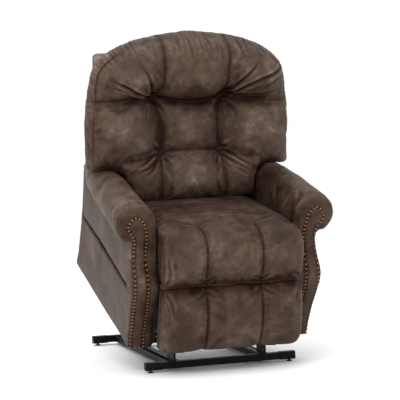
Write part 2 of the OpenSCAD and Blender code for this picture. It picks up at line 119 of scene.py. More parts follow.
def spline(points, step=6.0, closed=False):
    """Catmull-Rom through 2D or 3D points, resampled"""
    P = np.asarray(points, float)
    n = len(P)
    out = []
    rng = range(n if closed else n - 1)
    for i in rng:
        p0 = P[(i - 1) % n] if closed or i > 0 else 2 * P[0] - P[1]
        p1, p2 = P[i % n], P[(i + 1) % n]
        p3 = P[(i + 2) % n] if closed or i + 2 < n else 2 * P[-1] - P[-2]
        k = max(2, int(np.linalg.norm(p2 - p1) / step))
        for j in range(k):
            t = j / k
            out.append(0.5 * ((2 * p1) + (-p0 + p2) * t + (2 * p0 - 5 * p1 + 4 * p2 - p3) * t * t + (-p0 + 3 * p1 - 3 * p2 + p3) * t ** 3))
    if not closed:
        out.append(P[-1])
    return np.array(out)


def crease(P, line, depth, width, taper=(0.15, 1.0), lip=0.3):
    """valley along a 2D line: negative inside, with soft lips. It is deepest near its first point."""
    L = np.asarray(line, float)
    lo, hi = L.min(0) - width * 5, L.max(0) + width * 5
    m = np.all((P > lo) & (P < hi), axis=1)
    out = np.zeros(len(P))
    if not m.any():
        return out
    Q = P[m]
    d, s, n = seg_dist(Q, L)
    t = s / n
    up = smooth01(t / max(taper[0], 1e-3))
    down = smooth01((1 - t) / max(taper[1], 1e-3))
    k = up * down
    w = width * (0.55 + 0.45 * k)
    v = -depth * k * np.exp(-((d / w) ** 2)) + lip * depth * k * np.exp(-(((d - 2.1 * w) / (1.1 * w)) ** 2))
    out[m] = v
    return out


def rbf(points, values, queries):
    """smooth surface through control values (thin plate with a linear part)"""
    X = np.asarray(points, float) / 100.0
    Y = np.asarray(values, float)
    n = len(X)
    r = np.linalg.norm(X[:, None] - X[None], axis=2)
    K = np.where(r > 0, r * r * np.log(np.maximum(r, 1e-9)), 0) + np.eye(n) * 0.02
    A = np.zeros((n + 3, n + 3))
    A[:n, :n] = K
    A[:n, n] = A[n, :n] = 1
    A[:n, n + 1:] = X
    A[n + 1:, :n] = X.T
    c = np.linalg.solve(A, np.concatenate([Y, np.zeros(3)]))
    Q = np.asarray(queries, float) / 100.0
    out = np.empty(len(Q))
    for i in range(0, len(Q), 20000):
        q = Q[i:i + 20000]
        r = np.linalg.norm(q[:, None] - X[None], axis=2)
        k = np.where(r > 0, r * r * np.log(np.maximum(r, 1e-9)), 0)
        out[i:i + 20000] = k @ c[:n] + c[n] + q @ c[n + 1:]
    return out


# ------------------------------------------------------------------ mesh helpers
def make(name, verts, faces, smooth=True):
    me = bpy.data.meshes.new(name)
    me.from_pydata([tuple(v) for v in verts], [], [tuple(f) for f in faces])
    me.validate()
    me.update()
    if smooth:
        me.polygons.foreach_set("use_smooth", np.ones(len(me.polygons), bool))
    ob = bpy.data.objects.new(name, me)
    scene.collection.objects.link(ob)
    return ob


def get_co(me):
    co = np.empty(len(me.vertices) * 3, np.float32)
    me.vertices.foreach_get("co", co)
    return co.reshape(-1, 3).astype(float)


def set_co(me, co):
    me.vertices.foreach_set("co", np.ascontiguousarray(co, np.float32).ravel())
    me.update()


def get_no(me):
    no = np.empty(len(me.vertices) * 3, np.float32)
    me.vertices.foreach_get("normal", no)
    return no.reshape(-1, 3).astype(float)


def get_edges(me):
    e = np.empty(len(me.edges) * 2, np.int32)
    me.edges.foreach_get("vertices", e)
    return e.reshape(-1, 2)


def apply_mods(ob):
    bpy.context.view_layer.update()
    dg = bpy.context.evaluated_depsgraph_get()
    me = bpy.data.meshes.new_from_object(ob.evaluated_get(dg), preserve_all_data_layers=True, depsgraph=dg)
    ob.modifiers.clear()
    old = ob.data
    me.name = old.name
    ob.data = me
    bpy.data.meshes.remove(old)


def remesh(ob, mm):
    m = ob.modifiers.new("remesh", "REMESH")
    m.mode = "VOXEL"
    m.voxel_size = mm
    m.use_smooth_shade = True
    apply_mods(ob)


def relax(co, edges, steps, k=0.5, keep=None):
    """Laplacian smoothing; keep is a weight of 0..1 that holds a point"""
    n = len(co)
    deg = np.bincount(edges.ravel(), minlength=n).astype(float)[:, None]
    deg[deg == 0] = 1
    out = co.copy()
    for _ in range(steps):
        acc = np.zeros_like(out)
        for a in range(out.shape[1]):
            acc[:, a] = np.bincount(edges[:, 0], out[edges[:, 1], a], n) + np.bincount(edges[:, 1], out[edges[:, 0], a], n)
        step = (acc / deg - out) * k
        if keep is not None:
            step *= (1 - keep)[:, None]
        out = out + step
    return out


def subdivide(ob, levels=1):
    m = ob.modifiers.new("sub", "SUBSURF")
    m.levels = m.render_levels = levels
    m.boundary_smooth = "PRESERVE_CORNERS"
    apply_mods(ob)


def inflate(ob, pin, cap, frames=18, pressure=4.0, grow=0.02, bend=0.6, tension=12.0):
    """short cloth simulation of the cover under the pressure of its filling, in the mesh's own millimetre coordinates"""
    me = ob.data
    base = get_co(me)
    work = bpy.data.objects.new(ob.name + "_sim", me.copy())
    scene.collection.objects.link(work)
    set_co(work.data, base / 1000.0)
    vg = work.vertex_groups.new(name="pin")
    level = np.round(np.clip(pin, 0, 1) * 10).astype(int)
    for k in range(1, 11):
        ids = np.nonzero(level == k)[0]
        if len(ids):
            vg.add(ids.tolist(), k / 10.0, "REPLACE")
    m = work.modifiers.new("cloth", "CLOTH")
    s = m.settings
    s.quality = 4
    s.mass = 0.25
    s.tension_stiffness = s.compression_stiffness = tension
    s.shear_stiffness = 4.0
    s.bending_stiffness = bend
    s.tension_damping = s.compression_damping = s.shear_damping = 8
    s.bending_damping = 1.0
    s.air_damping = 3.0
    s.use_pressure = True
    s.uniform_pressure_force = pressure
    s.shrink_min = -grow
    s.vertex_group_mass = "pin"
    s.pin_stiffness = 1.0
    s.effector_weights.gravity = 0.0
    m.collision_settings.use_collision = False
    m.collision_settings.use_self_collision = False
    m.point_cache.frame_start = 1
    m.point_cache.frame_end = frames
    for f in range(1, frames + 1):
        scene.frame_set(f)
    dg = bpy.context.evaluated_depsgraph_get()
    out = bpy.data.meshes.new_from_object(work.evaluated_get(dg))
    co = get_co(out) * 1000.0
    bpy.data.meshes.remove(out)
    data = work.data
    bpy.data.objects.remove(work)
    bpy.data.meshes.remove(data)
    scene.frame_set(1)
    d = co - base
    n = np.linalg.norm(d, axis=1)
    d[~np.isfinite(n)] = 0
    n[~np.isfinite(n)] = 0
    k = np.where(n > cap * 0.6, (cap * 0.6 + (cap * 0.4) * np.tanh((n - cap * 0.6) / (cap * 0.4 + 1e-9))) / np.maximum(n, 1e-9), 1.0)
    co = base + d * k[:, None]
    co = relax(co, get_edges(me), 2, 0.4)
    set_co(me, co)
    print(f"inflate {ob.name}: {len(co)} points, moved mean {n.mean():.1f} max {n.max():.1f} mm")


def pillow(name, outline, spacing, face, edge, rear, radius, axes="xz", bulge=0.0, rows=None, rear_r=6.0):
    """closed padded form over a 2D outline. face, edge and rear give the depth for 2D points: the front, the seam round the front and the back."""
    O = np.asarray(outline, float)
    n = len(O)
    lo, hi = O.min(0), O.max(0)
    gx, gy = np.meshgrid(np.arange(lo[0] + spacing / 2, hi[0], spacing), np.arange(lo[1] + spacing / 2, hi[1], spacing))
    G = np.column_stack([gx.ravel(), gy.ravel()])
    # points inside the outline, away from its edge
    inside = np.zeros(len(G), bool)
    x, y = G.T
    j = n - 1
    for i in range(n):
        (x1, y1), (x2, y2) = O[i], O[j]
        hit = ((y1 > y) != (y2 > y)) & (x < (x2 - x1) * (y - y1) / (y2 - y1 + 1e-12) + x1)
        inside ^= hit
        j = i
    d, _, _ = seg_dist(G, O, True)
    G = G[inside & (d > spacing * 0.45)]
    pts = [Vector(p) for p in np.vstack([O, G])]
    res = delaunay_2d_cdt(pts, [], [list(range(n))], 1, 1e-5)
    V = np.array([tuple(v) for v in res[0]])
    F = [tuple(f) for f in res[2]]
    d, _, _ = seg_dist(V, O, True)
    on = d < 1e-3
    R = radius(V) if callable(radius) else np.full(len(V), float(radius))
    t = np.clip(1 - d / R, 0, 1)
    g = 1 - np.sqrt(np.clip(1 - t * t, 0, 1))
    yf = face(V) * (1 - g) + edge(V) * g
    t = np.clip(1 - d / rear_r, 0, 1)
    g = 1 - np.sqrt(np.clip(1 - t * t, 0, 1))
    ed = edge(V)
    yr_ = rear(V)
    sgn = np.sign(yr_ - ed)
    yb = yr_ - sgn * rear_r * g
    order = [i for i in range(len(V)) if on[i]]
    # ring of boundary points in outline order
    _, arc, total = seg_dist(V[order], O, True)
    ring = [order[i] for i in np.argsort(arc)]
    m = len(V)
    verts2 = [V, V]
    depth = [yf, yb]
    faces = [f for f in F] + [tuple(reversed([i + m for i in f])) for f in F]
    rows = rows or max(1, int(abs(np.mean(yb[ring] - yf[ring])) / (spacing * 1.2)))
    prev = ring
    # outward directions for a boxing that swells
    P = V[ring]
    nxt, prv = np.roll(P, -1, 0), np.roll(P, 1, 0)
    tan = nxt - prv
    nor = np.column_stack([tan[:, 1], -tan[:, 0]])
    nor /= np.maximum(np.linalg.norm(nor, axis=1)[:, None], 1e-9)
    cen = P.mean(0)
    area = 0.5 * np.sum(P[:, 0] * nxt[:, 1] - nxt[:, 0] * P[:, 1])
    if area < 0:
        nor = -nor
    count = 2 * m
    for r in range(1, rows):
        u = r / rows
        verts2.append(P + nor * bulge * math.sin(math.pi * u))
        depth.append(yf[ring] * (1 - u) + yb[ring] * u)
        cur = list(range(count, count + len(ring)))
        for a in range(len(ring)):
            b = (a + 1) % len(ring)
            faces.append((prev[a], cur[a], cur[b], prev[b]))
        prev = cur
        count += len(ring)
    cur = [i + m for i in ring]
    for a in range(len(ring)):
        b = (a + 1) % len(ring)
        faces.append((prev[a], cur[a], cur[b], prev[b]))
    U = np.vstack(verts2)
    D = np.concatenate(depth)
    if axes == "xz":
        co = np.column_stack([U[:, 0], D, U[:, 1]])
    elif axes == "yz":
        co = np.column_stack([D, U[:, 0], U[:, 1]])
    else:
        co = np.column_stack([U[:, 0], U[:, 1], D])
    ob = make(name, co, faces)
    bm = bmesh.new()
    bm.from_mesh(ob.data)
    bmesh.ops.recalc_face_normals(bm, faces=bm.faces)
    bm.to_mesh(ob.data)
    bm.free()
    return ob


def loft(name, rings, close_ends=True):
    """closed tube through rings of equal point count"""
    R = np.asarray(rings, float)
    k, n = R.shape[0], R.shape[1]
    faces = []
    for i in range(k - 1):
        for j in range(n):
            a, b = i * n + j, i * n + (j + 1) % n
            faces.append((a, b, b + n, a + n))
    V = R.reshape(-1, 3)
    if close_ends:
        faces.append(tuple(reversed(range(n))))
        faces.append(tuple(range((k - 1) * n, k * n)))
    ob = make(name, V, faces)
    bm = bmesh.new()
    bm.from_mesh(ob.data)
    bmesh.ops.recalc_face_normals(bm, faces=bm.faces)
    bm.to_mesh(ob.data)
    bm.free()
    return ob


def push(ob, fn, passes=1):
    """moves the points along their normals by fn(points in mm, normals)"""
    me = ob.data
    for _ in range(passes):
        co, no = get_co(me), get_no(me)
        set_co(me, co + no * fn(co, no)[:, None])


def pleats(s, total, pitch, seed, jitter=0.35):
    """phase of irregular gathers along an arc length, and each gather's own number"""
    rng = np.random.default_rng(seed)
    n = max(3, int(total / pitch))
    at = (np.arange(n) + rng.uniform(-jitter, jitter, n)) * total / n
    at = np.concatenate([[at[-1] - total], at, [at[0] + total]])
    ph = np.interp(s, at, np.arange(-1, n + 1))
    idx = np.mod(np.round(ph).astype(int), n)
    return ph, idx, n, rng


def finish_soft(ob, tone=0.0, dark=None, red_shade=None):
    """shade attribute: creases painted darker as painted shade and crowns painted lighter as painted highlight with
    some rubbing, from the surface's own curvature; dark adds more painted shade, and painted highlight where it is
    negative; the last function marks a darker reddish brown painted shade
    """
    me = ob.data
    co, no = get_co(me), get_no(me)
    e = get_edges(me)
    a = relax(co, e, 3, 0.6)
    b = relax(co, e, 26, 0.6)
    fine = np.einsum("ij,ij->i", co - a, no)
    broad = np.einsum("ij,ij->i", co - b, no)
    # concave places get painted shade, convex places painted highlight with some rubbing; tone lifts or lowers the
    # whole piece
    w = np.clip(fine / 0.45, -1, 0.6) * 0.40 + np.clip(broad / 3.2, -1, 1) * 0.62 + tone
    w = relax(w[:, None], e, 2, 0.5)[:, 0]
    if dark is not None:
        w = w - dark(co, no)
    # first attribute: painted shade and painted highlight; second attribute: the darker reddish brown painted shade
    at = me.attributes.new("light_dark_shift", "FLOAT", "POINT")
    at.data.foreach_set("value", np.clip(w, -1.4, 1.2).astype(np.float32))
    at = me.attributes.new("red_shade_tint", "FLOAT", "POINT")
    at.data.foreach_set("value", (np.clip(red_shade(co, no), 0, 1) if red_shade is not None else np.zeros(len(co))).astype(np.float32))


def place(ob, mirror=False):
    """mesh in chair millimetres -> row metres"""
    me = ob.data
    co = get_co(me)
    if mirror:
        co[:, 0] *= -1
        me.flip_normals()
    set_co(me, C(co))
    me.polygons.foreach_set("use_smooth", np.ones(len(me.polygons), bool))
    me.update()


def tube(name, path, r, sides=10, closed=False):
    """round tube along 3D points in mm"""
    P = np.asarray(path, float)
    n = len(P)
    rings = []
    up = np.array([0.0, 0.0, 1.0])
    last = None
    for i in range(n):
        a = P[(i - 1) % n] if closed or i else P[0]
        b = P[(i + 1) % n] if closed or i < n - 1 else P[-1]
        t = b - a
        t /= max(np.linalg.norm(t), 1e-9)
        if last is None:
            u = np.cross(t, up)
            if np.linalg.norm(u) < 0.1:
                u = np.cross(t, [1.0, 0, 0])
        else:
            u = last - t * (last @ t)
        u /= np.linalg.norm(u)
        v = np.cross(t, u)
        last = u
        rr = r(i / max(n - 1, 1)) if callable(r) else r
        ang = np.linspace(0, 2 * math.pi, sides, endpoint=False)
        rings.append(P[i] + rr * (np.cos(ang)[:, None] * u + np.sin(ang)[:, None] * v))
    R = np.array(rings)
    if closed:
        k = n
        faces = []
        for i in range(k):
            for j in range(sides):
                a, b = i * sides + j, i * sides + (j + 1) % sides
                c, d = ((i + 1) % k) * sides + (j + 1) % sides, ((i + 1) % k) * sides + j
                faces.append((a, b, c, d))
        return make(name, R.reshape(-1, 3), faces)
    return loft(name, R)


# ------------------------------------------------------------------ materials
def srgb(r, g, b):
    f = lambda c: (c / 255 / 12.92) if c / 255 <= 0.04045 else ((c / 255 + 0.055) / 1.055) ** 2.4
    return (f(r), f(g), f(b), 1.0)


class Net:
    def __init__(self, name):
        self.mat = bpy.data.materials.new(name)
        self.mat.use_nodes = True
        self.t = self.mat.node_tree
        self.t.nodes.clear()
        self.out = self.t.nodes.new("ShaderNodeOutputMaterial")
        self.bsdf = self.t.nodes.new("ShaderNodeBsdfPrincipled")
        self.t.links.new(self.bsdf.outputs[0], self.out.inputs[0])
        self.coord = self.t.nodes.new("ShaderNodeTexCoord").outputs["Object"]

    def n(self, kind, **props):
        node = self.t.nodes.new(kind)
        for k, v in props.items():
            setattr(node, k, v)
        return node

    def link(self, a, b):
        self.t.links.new(a, b)

    def scaled(self, vec, scale):
        m = self.n("ShaderNodeMapping")
        m.inputs["Scale"].default_value = scale
        self.link(vec, m.inputs["Vector"])
        return m.outputs[0]

    def noise(self, scale, detail=4.0, rough=0.55, vec=None, distortion=0.0):
        x = self.n("ShaderNodeTexNoise")
        x.inputs["Scale"].default_value = scale
        x.inputs["Detail"].default_value = detail
        x.inputs["Roughness"].default_value = rough
        x.inputs["Distortion"].default_value = distortion
        self.link(vec or self.coord, x.inputs["Vector"])
        return x.outputs["Fac"]

    def voronoi(self, scale, feature="F1", vec=None, smooth=None):
        x = self.n("ShaderNodeTexVoronoi", feature=feature)
        x.inputs["Scale"].default_value = scale
        if smooth is not None and "Smoothness" in x.inputs:
            x.inputs["Smoothness"].default_value = smooth
        self.link(vec or self.coord, x.inputs["Vector"])
        return x.outputs["Distance"]

    def math(self, op, a, b=None, c=None, clamp=False):
        x = self.n("ShaderNodeMath", operation=op, use_clamp=clamp)
        for i, v in enumerate((a, b, c)):
            if v is None:
                continue
            if isinstance(v, (int, float)):
                x.inputs[i].default_value = v
            else:
                self.link(v, x.inputs[i])
        return x.outputs[0]

    def rng(self, v, a, b, c, d):
        x = self.n("ShaderNodeMapRange")
        x.inputs[1].default_value, x.inputs[2].default_value = a, b
        x.inputs[3].default_value, x.inputs[4].default_value = c, d
        self.link(v, x.inputs[0])
        return x.outputs[0]

    def ramp(self, v, stops):
        x = self.n("ShaderNodeValToRGB")
        el = x.color_ramp.elements
        while len(el) > 1:
            el.remove(el[-1])
        el[0].position, el[0].color = stops[0]
        for p, c in stops[1:]:
            e = el.new(p)
            e.color = c
        self.link(v, x.inputs[0])
        return x.outputs[0]

    def bump(self, height, distance, strength=1.0, normal=None):
        x = self.n("ShaderNodeBump")
        x.inputs["Strength"].default_value = strength
        x.inputs["Distance"].default_value = distance
        self.link(height, x.inputs["Height"])
        if normal is not None:
            self.link(normal, x.inputs["Normal"])
        return x.outputs[0]

    def set(self, **kw):
        for k, v in kw.items():
            key = k.replace("_", " ")
            if isinstance(v, (int, float, tuple)):
                self.bsdf.inputs[key].default_value = v
            else:
                self.link(v, self.bsdf.inputs[key])


def leather(name, painted_light_shift=0.0, warm=0.0):
    """distressed faux leather: mottled taupe brown, brushed streaks, crowns lighter by painted highlight with some
    rubbing, creases darker by painted shade, fine pebble grain
    """
    k = Net(name)
    big = k.noise(7.5, 3.0, 0.55, distortion=0.4)
    mid = k.noise(26.0, 5.0, 0.62, distortion=0.3)
    fine = k.noise(120.0, 5.0, 0.7)
    streak = k.noise(1.0, 4.0, 0.6, vec=k.scaled(k.coord, (14.0, 36.0, 60.0)))
    # the per-vertex attribute read here holds painted shade in creases, seams, tufts and gaps and painted highlight on
    # the crowns
    at = k.n("ShaderNodeAttribute", attribute_name="light_dark_shift", attribute_type="GEOMETRY")
    light_dark_shift = at.outputs["Fac"]
    f = k.math("MULTIPLY", k.math("SUBTRACT", big, 0.5), 1.0)
    f = k.math("ADD", f, k.math("MULTIPLY", k.math("SUBTRACT", mid, 0.5), 0.84))
    f = k.math("ADD", f, k.math("MULTIPLY", k.math("SUBTRACT", fine, 0.5), 0.30))
    f = k.math("ADD", f, k.math("MULTIPLY", k.math("SUBTRACT", streak, 0.5), 0.14))
    f = k.math("ADD", f, k.math("MULTIPLY", light_dark_shift, 0.40))
    # a positive value here paints a whole copy lighter (painted light), a negative one darker (painted shade)
    f = k.math("ADD", f, 0.50 + painted_light_shift)
    col = k.ramp(f, [
        (0.0, srgb(28, 12, 5)),
        (0.20, srgb(43 + warm * 4, 28, 19)),
        (0.40, srgb(58 + warm * 4, 43, 34)),
        (0.60, srgb(71 + warm * 3, 56, 46)),
        (0.80, srgb(87, 72, 63)),
        (1.0, srgb(112, 99, 91)),
    ])
    # darker reddish brown multiply from the second attribute: painted shade in seams, creases and gaps
    red_shade_tint = k.n("ShaderNodeAttribute", attribute_name="red_shade_tint", attribute_type="GEOMETRY").outputs["Fac"]
    mix = k.n("ShaderNodeMix", data_type="RGBA", blend_type="MULTIPLY")
    k.link(red_shade_tint, mix.inputs["Factor"])
    k.link(col, mix.inputs[6])
    mix.inputs[7].default_value = (0.92, 0.58, 0.46, 1)
    col = mix.outputs[2]
    k.set(Base_Color=col)
    k.set(Roughness=k.rng(k.math("ADD", mid, k.math("MULTIPLY", light_dark_shift, -0.10)), 0.3, 0.75, 0.44, 0.64))
    k.bsdf.inputs["Specular IOR Level"].default_value = 0.12
    k.bsdf.inputs["Sheen Weight"].default_value = 0.01
    k.bsdf.inputs["Sheen Roughness"].default_value = 0.45
    warp = k.n("ShaderNodeVectorMath", operation="ADD")
    k.link(k.coord, warp.inputs[0])
    nz = k.n("ShaderNodeTexNoise")
    nz.inputs["Scale"].default_value = 90.0
    k.link(k.coord, nz.inputs["Vector"])
    sc = k.n("ShaderNodeVectorMath", operation="SCALE")
    sc.inputs["Scale"].default_value = 0.006
    k.link(nz.outputs["Color"], sc.inputs[0])
    k.link(sc.outputs[0], warp.inputs[1])
    pebble = k.voronoi(420.0, "SMOOTH_F1", warp.outputs[0], 0.35)
    wrinkle = k.noise(70.0, 4.0, 0.6, distortion=0.8)
    b1 = k.bump(k.math("SUBTRACT", 1.0, pebble), 0.00035, 0.55)
    b2 = k.bump(wrinkle, 0.0022, 0.35, b1)
    b3 = k.bump(k.noise(900.0, 3.0, 0.7), 0.00018, 0.4, b2)
    k.set(Normal=b3)
    return k.mat


def metal(name, color, rough, metallic=1.0, scale=60.0, light_dark_shift=0.08, coat=0.0, grain=None):
    k = Net(name)
    a = k.noise(scale, 5.0, 0.65)
    b = k.noise(scale * 9, 4.0, 0.6, vec=k.scaled(k.coord, grain) if grain else None)
    dark = tuple(c * (1 - light_dark_shift * 2.2) for c in color[:3]) + (1,)
    light = tuple(min(1, c * (1 + light_dark_shift * 2.2) + light_dark_shift * 0.02) for c in color[:3]) + (1,)
    k.set(Base_Color=k.ramp(k.math("ADD", k.math("MULTIPLY", a, 0.7), k.math("MULTIPLY", b, 0.3)), [(0.3, dark), (0.5, color), (0.72, light)]))
    k.set(Roughness=k.rng(b, 0.3, 0.7, rough - 0.07, rough + 0.09))
    k.bsdf.inputs["Metallic"].default_value = metallic
    k.bsdf.inputs["Coat Weight"].default_value = coat
    k.set(Normal=k.bump(b, 0.00012, 0.35))
    return k.mat


def powder(name, color):
    """satin powder coat: fine orange peel"""
    k = Net(name)
    a = k.noise(18.0, 4.0, 0.6)
    peel = k.noise(820.0, 2.0, 0.5)
    k.set(Base_Color=k.ramp(a, [(0.25, tuple(c * 0.7 for c in color[:3]) + (1,)), (0.55, color), (0.85, tuple(c * 1.5 + 0.002 for c in color[:3]) + (1,))]))
    k.set(Roughness=k.rng(a, 0.3, 0.7, 0.40, 0.54))
    k.bsdf.inputs["Specular IOR Level"].default_value = 0.09
    k.set(Normal=k.bump(peel, 0.00025, 0.4))
    return k.mat


def plastic(name, color, rough=0.45):
    k = Net(name)
    a = k.noise(30.0, 4.0, 0.6)
    tex = k.voronoi(1500.0, "F1")
    k.set(Base_Color=k.ramp(a, [(0.3, tuple(c * 0.8 for c in color[:3]) + (1,)), (0.7, tuple(c * 1.2 for c in color[:3]) + (1,))]))
    k.set(Roughness=k.rng(a, 0.3, 0.7, rough - 0.06, rough + 0.06))
    k.set(Normal=k.bump(tex, 0.00012, 0.5))
    return k.mat


def rubber(name):
    k = Net(name)
    a = k.noise(60.0, 4.0, 0.6)
    k.set(Base_Color=k.ramp(a, [(0.3, (0.010, 0.010, 0.010, 1)), (0.7, (0.024, 0.023, 0.022, 1))]))
    k.set(Roughness=k.rng(a, 0.3, 0.7, 0.62, 0.8))
    k.set(Normal=k.bump(k.noise(600.0, 3.0, 0.6), 0.0002, 0.4))
    return k.mat


def timber(name):
    """dark stained plywood: long grain, plies at the edges"""
    k = Net(name)
    g = k.noise(1.0, 6.0, 0.6, vec=k.scaled(k.coord, (60.0, 60.0, 6.0)), distortion=0.6)
    p = k.n("ShaderNodeTexWave", wave_type="BANDS", bands_direction="X")
    p.inputs["Scale"].default_value = 90.0
    p.inputs["Distortion"].default_value = 1.2
    k.link(k.coord, p.inputs["Vector"])
    f = k.math("ADD", k.math("MULTIPLY", g, 0.75), k.math("MULTIPLY", p.outputs["Fac"], 0.25))
    k.set(Base_Color=k.ramp(f, [(0.2, (0.030, 0.018, 0.011, 1)), (0.5, (0.055, 0.034, 0.020, 1)), (0.8, (0.085, 0.054, 0.032, 1))]))
    k.set(Roughness=k.rng(g, 0.3, 0.7, 0.55, 0.72))
    k.set(Normal=k.bump(g, 0.0004, 0.4))
    return k.mat


M = {
    "upholstery": leather("faux_leather"),
    # lighter and darker copies of one leather: the arm rolls, sides, rear ends and handset pocket painted lighter
    # (painted light), the arm fronts painted darker (painted shade)
    "upholstery_arm": leather("faux_leather_arm_painted_light", painted_light_shift=0.035, warm=-0.2),
    "upholstery_front": leather("faux_leather_front_painted_shade", painted_light_shift=-0.02, warm=0.0),
    "black_steel": powder("black_powder_coat", (0.0048, 0.0048, 0.0052, 1)),
    "zinc": metal("zinc_plate", (0.62, 0.62, 0.60, 1), 0.30),
    "spring_steel": metal("spring_wire", (0.30, 0.30, 0.31, 1), 0.38),
    "timber": timber("plywood"),
    "black_plastic": plastic("black_plastic", (0.018, 0.018, 0.019, 1)),
    "feet": rubber("rubber_feet"),
    "keys": plastic("grey_keys", (0.42, 0.42, 0.43, 1), 0.5),
    "antique_bronze": metal("antique_bronze", (0.19, 0.122, 0.076, 1), 0.44, light_dark_shift=0.18, scale=900.0),
}


def paint(ob, mat):
    ob.data.materials.clear()
    ob.data.materials.append(M[mat] if isinstance(mat, str) else mat)


# ------------------------------------------------------------------ camera, floor, light
def camera():
    a, e, roll = 0.2940435, 0.0671932, -0.0399137
    fwd = Vector((math.sin(a) * math.cos(e), math.cos(a) * math.cos(e), -math.sin(e)))
    right = Vector((math.cos(a), -math.sin(a), 0))
    up = right.cross(fwd)
    r2 = right * math.cos(roll) + up * math.sin(roll)
    u2 = up * math.cos(roll) - right * math.sin(roll)
    cam = bpy.data.cameras.new("camera")
    cam.sensor_width = 36.0
    cam.lens = 1898.846 * 36.0 / 400.0
    cam.clip_end = 100
    ob = bpy.data.objects.new("camera", cam)
    m = Matrix((
        (r2.x, u2.x, -fwd.x, -2.0828),
        (r2.y, u2.y, -fwd.y, -6.9833),
        (r2.z, u2.z, -fwd.z, 1.0972),
        (0, 0, 0, 1),
    ))
    ob.matrix_world = m
    scene.collection.objects.link(ob)
    scene.camera = ob


def area(name, loc, target, size, power, color=(1, 1, 1)):
    l = bpy.data.lights.new(name, "AREA")
    l.shape = "RECTANGLE"
    l.size, l.size_y = size
    l.energy = power
    l.color = color
    ob = bpy.data.objects.new(name, l)
    ob.location = loc
    d = Vector(target) - Vector(loc)
    ob.rotation_euler = d.to_track_quat("-Z", "Y").to_euler()
    scene.collection.objects.link(ob)


def studio():
    camera()
    w = bpy.data.worlds.new("studio")
    scene.world = w
    w.use_nodes = True
    bg = w.node_tree.nodes["Background"]
    bg.inputs[0].default_value = (1.0, 1.0, 1.0, 1)
    bg.inputs[1].default_value = 1.04
    scene.view_settings.view_transform = "Standard"
    scene.view_settings.look = "None"
    area("key", (-2.2, -3.4, 3.4), (0, -0.1, 0.6), (2.6, 2.0), 95)
    area("fill", (3.2, -3.2, 2.2), (0, 0, 0.6), (2.4, 2.4), 22)
    area("top", (0.0, -0.2, 3.6), (0, 0, 0.5), (2.6, 2.6), 55)
    v = [(-40, -40, 0), (40, -40, 0), (40, 40, 0), (-40, 40, 0)]
    fl = make("studio_floor", v, [(0, 1, 2, 3)], smooth=False)
    k = Net("floor_white")
    k.set(Base_Color=k.ramp(k.noise(3.0, 2.0), [(0.3, (0.955, 0.955, 0.955, 1)), (0.7, (0.965, 0.965, 0.965, 1))]))
    k.bsdf.inputs["Roughness"].default_value = 0.8
    k.bsdf.inputs["Specular IOR Level"].default_value = 0.1
    fl.data.materials.append(k.mat)


studio()


# ------------------------------------------------------------------ back
def yr(z):
    return 712 + (z - 925) * 0.18


def mirrored(pts):
    """control points (x, z, y) given for x >= 0, with their mirror images"""
    out = []
    for x, z, y in pts:
        out.append((x, z, y))
        if x > 0:
            out.append((-x, z, y))
    return np.array(out, float)


BACK_PTS = mirrored([
    # top row
    (0, 1015, 478), (0, 965, 450), (0, 905, 437), (0, 850, 444), (0, 812, 478),
    (75, 1010, 480), (70, 960, 450), (70, 900, 438), (65, 845, 448),
    (131, 1008, 486), (130, 965, 464), (129, 905, 454), (127, 850, 472),
    (200, 990, 488), (205, 950, 462), (215, 900, 446), (220, 850, 452), (200, 815, 492),
    (300, 960, 500), (300, 905, 466), (305, 850, 460), (300, 812, 480), (370, 880, 498), (375, 820, 492),
    # tufts and the upper seam
    (141, 783, 574), (0, 773, 532), (60, 774, 540), (170, 788, 545), (215, 788, 524), (270, 785, 508), (330, 780, 500), (385, 776, 503),
    # middle row
    (0, 745, 508), (0, 715, 486), (0, 670, 474), (0, 635, 466), (65, 735, 506), (60, 690, 478), (60, 640, 466),
    (117, 735, 534), (114, 690, 512), (114, 640, 497),
    (190, 750, 500), (190, 710, 480), (190, 660, 466), (190, 615, 460), (270, 740, 484), (270, 690, 464), (270, 635, 452), (270, 600, 452),
    (350, 730, 488), (350, 680, 472), (350, 620, 462), (350, 570, 466), (390, 700, 488), (390, 600, 478),
    # lower tufts and seam
    (118, 584, 485), (0, 603, 454), (60, 600, 460), (165, 577, 462), (215, 572, 448), (235, 569, 446),
    # lower row
    (0, 565, 424), (0, 525, 398), (0, 480, 385), (0, 430, 393), (65, 555, 428), (65, 510, 399), (65, 460, 387),
    (127, 545, 435), (126, 508, 410), (128, 455, 397), (195, 535, 419), (200, 490, 400), (200, 450, 396), (235, 520, 423), (240, 460, 409),
    (128, 415, 406), (60, 412, 402),
])
TUFTS = [(-146, 787), (138, 778), (-117, 584), (119, 584)]
_half = [(0, 404), (120, 404), (225, 405), (248, 411), (255, 428), (256.5, 462), (258, 482), (264, 497), (276, 506), (292, 513), (308, 518), (324, 520.5), (345, 521), (368, 517),
         (385, 514), (396, 518), (401, 530), (402, 570), (402, 630), (402, 690), (399, 745), (395, 777), (386, 833), (374, 889), (354, 919), (325, 946), (285, 970), (246, 985.5),
         (206, 999), (126, 1015), (46, 1025), (0, 1028)]
BACK_OUT = spline(_half[:-1] + [(-x, z) for x, z in reversed(_half[1:])], 5.0, closed=True)


def back_edge(z):
    """depth of the seam round the front of the back pad"""
    return yr(z) - 145.0


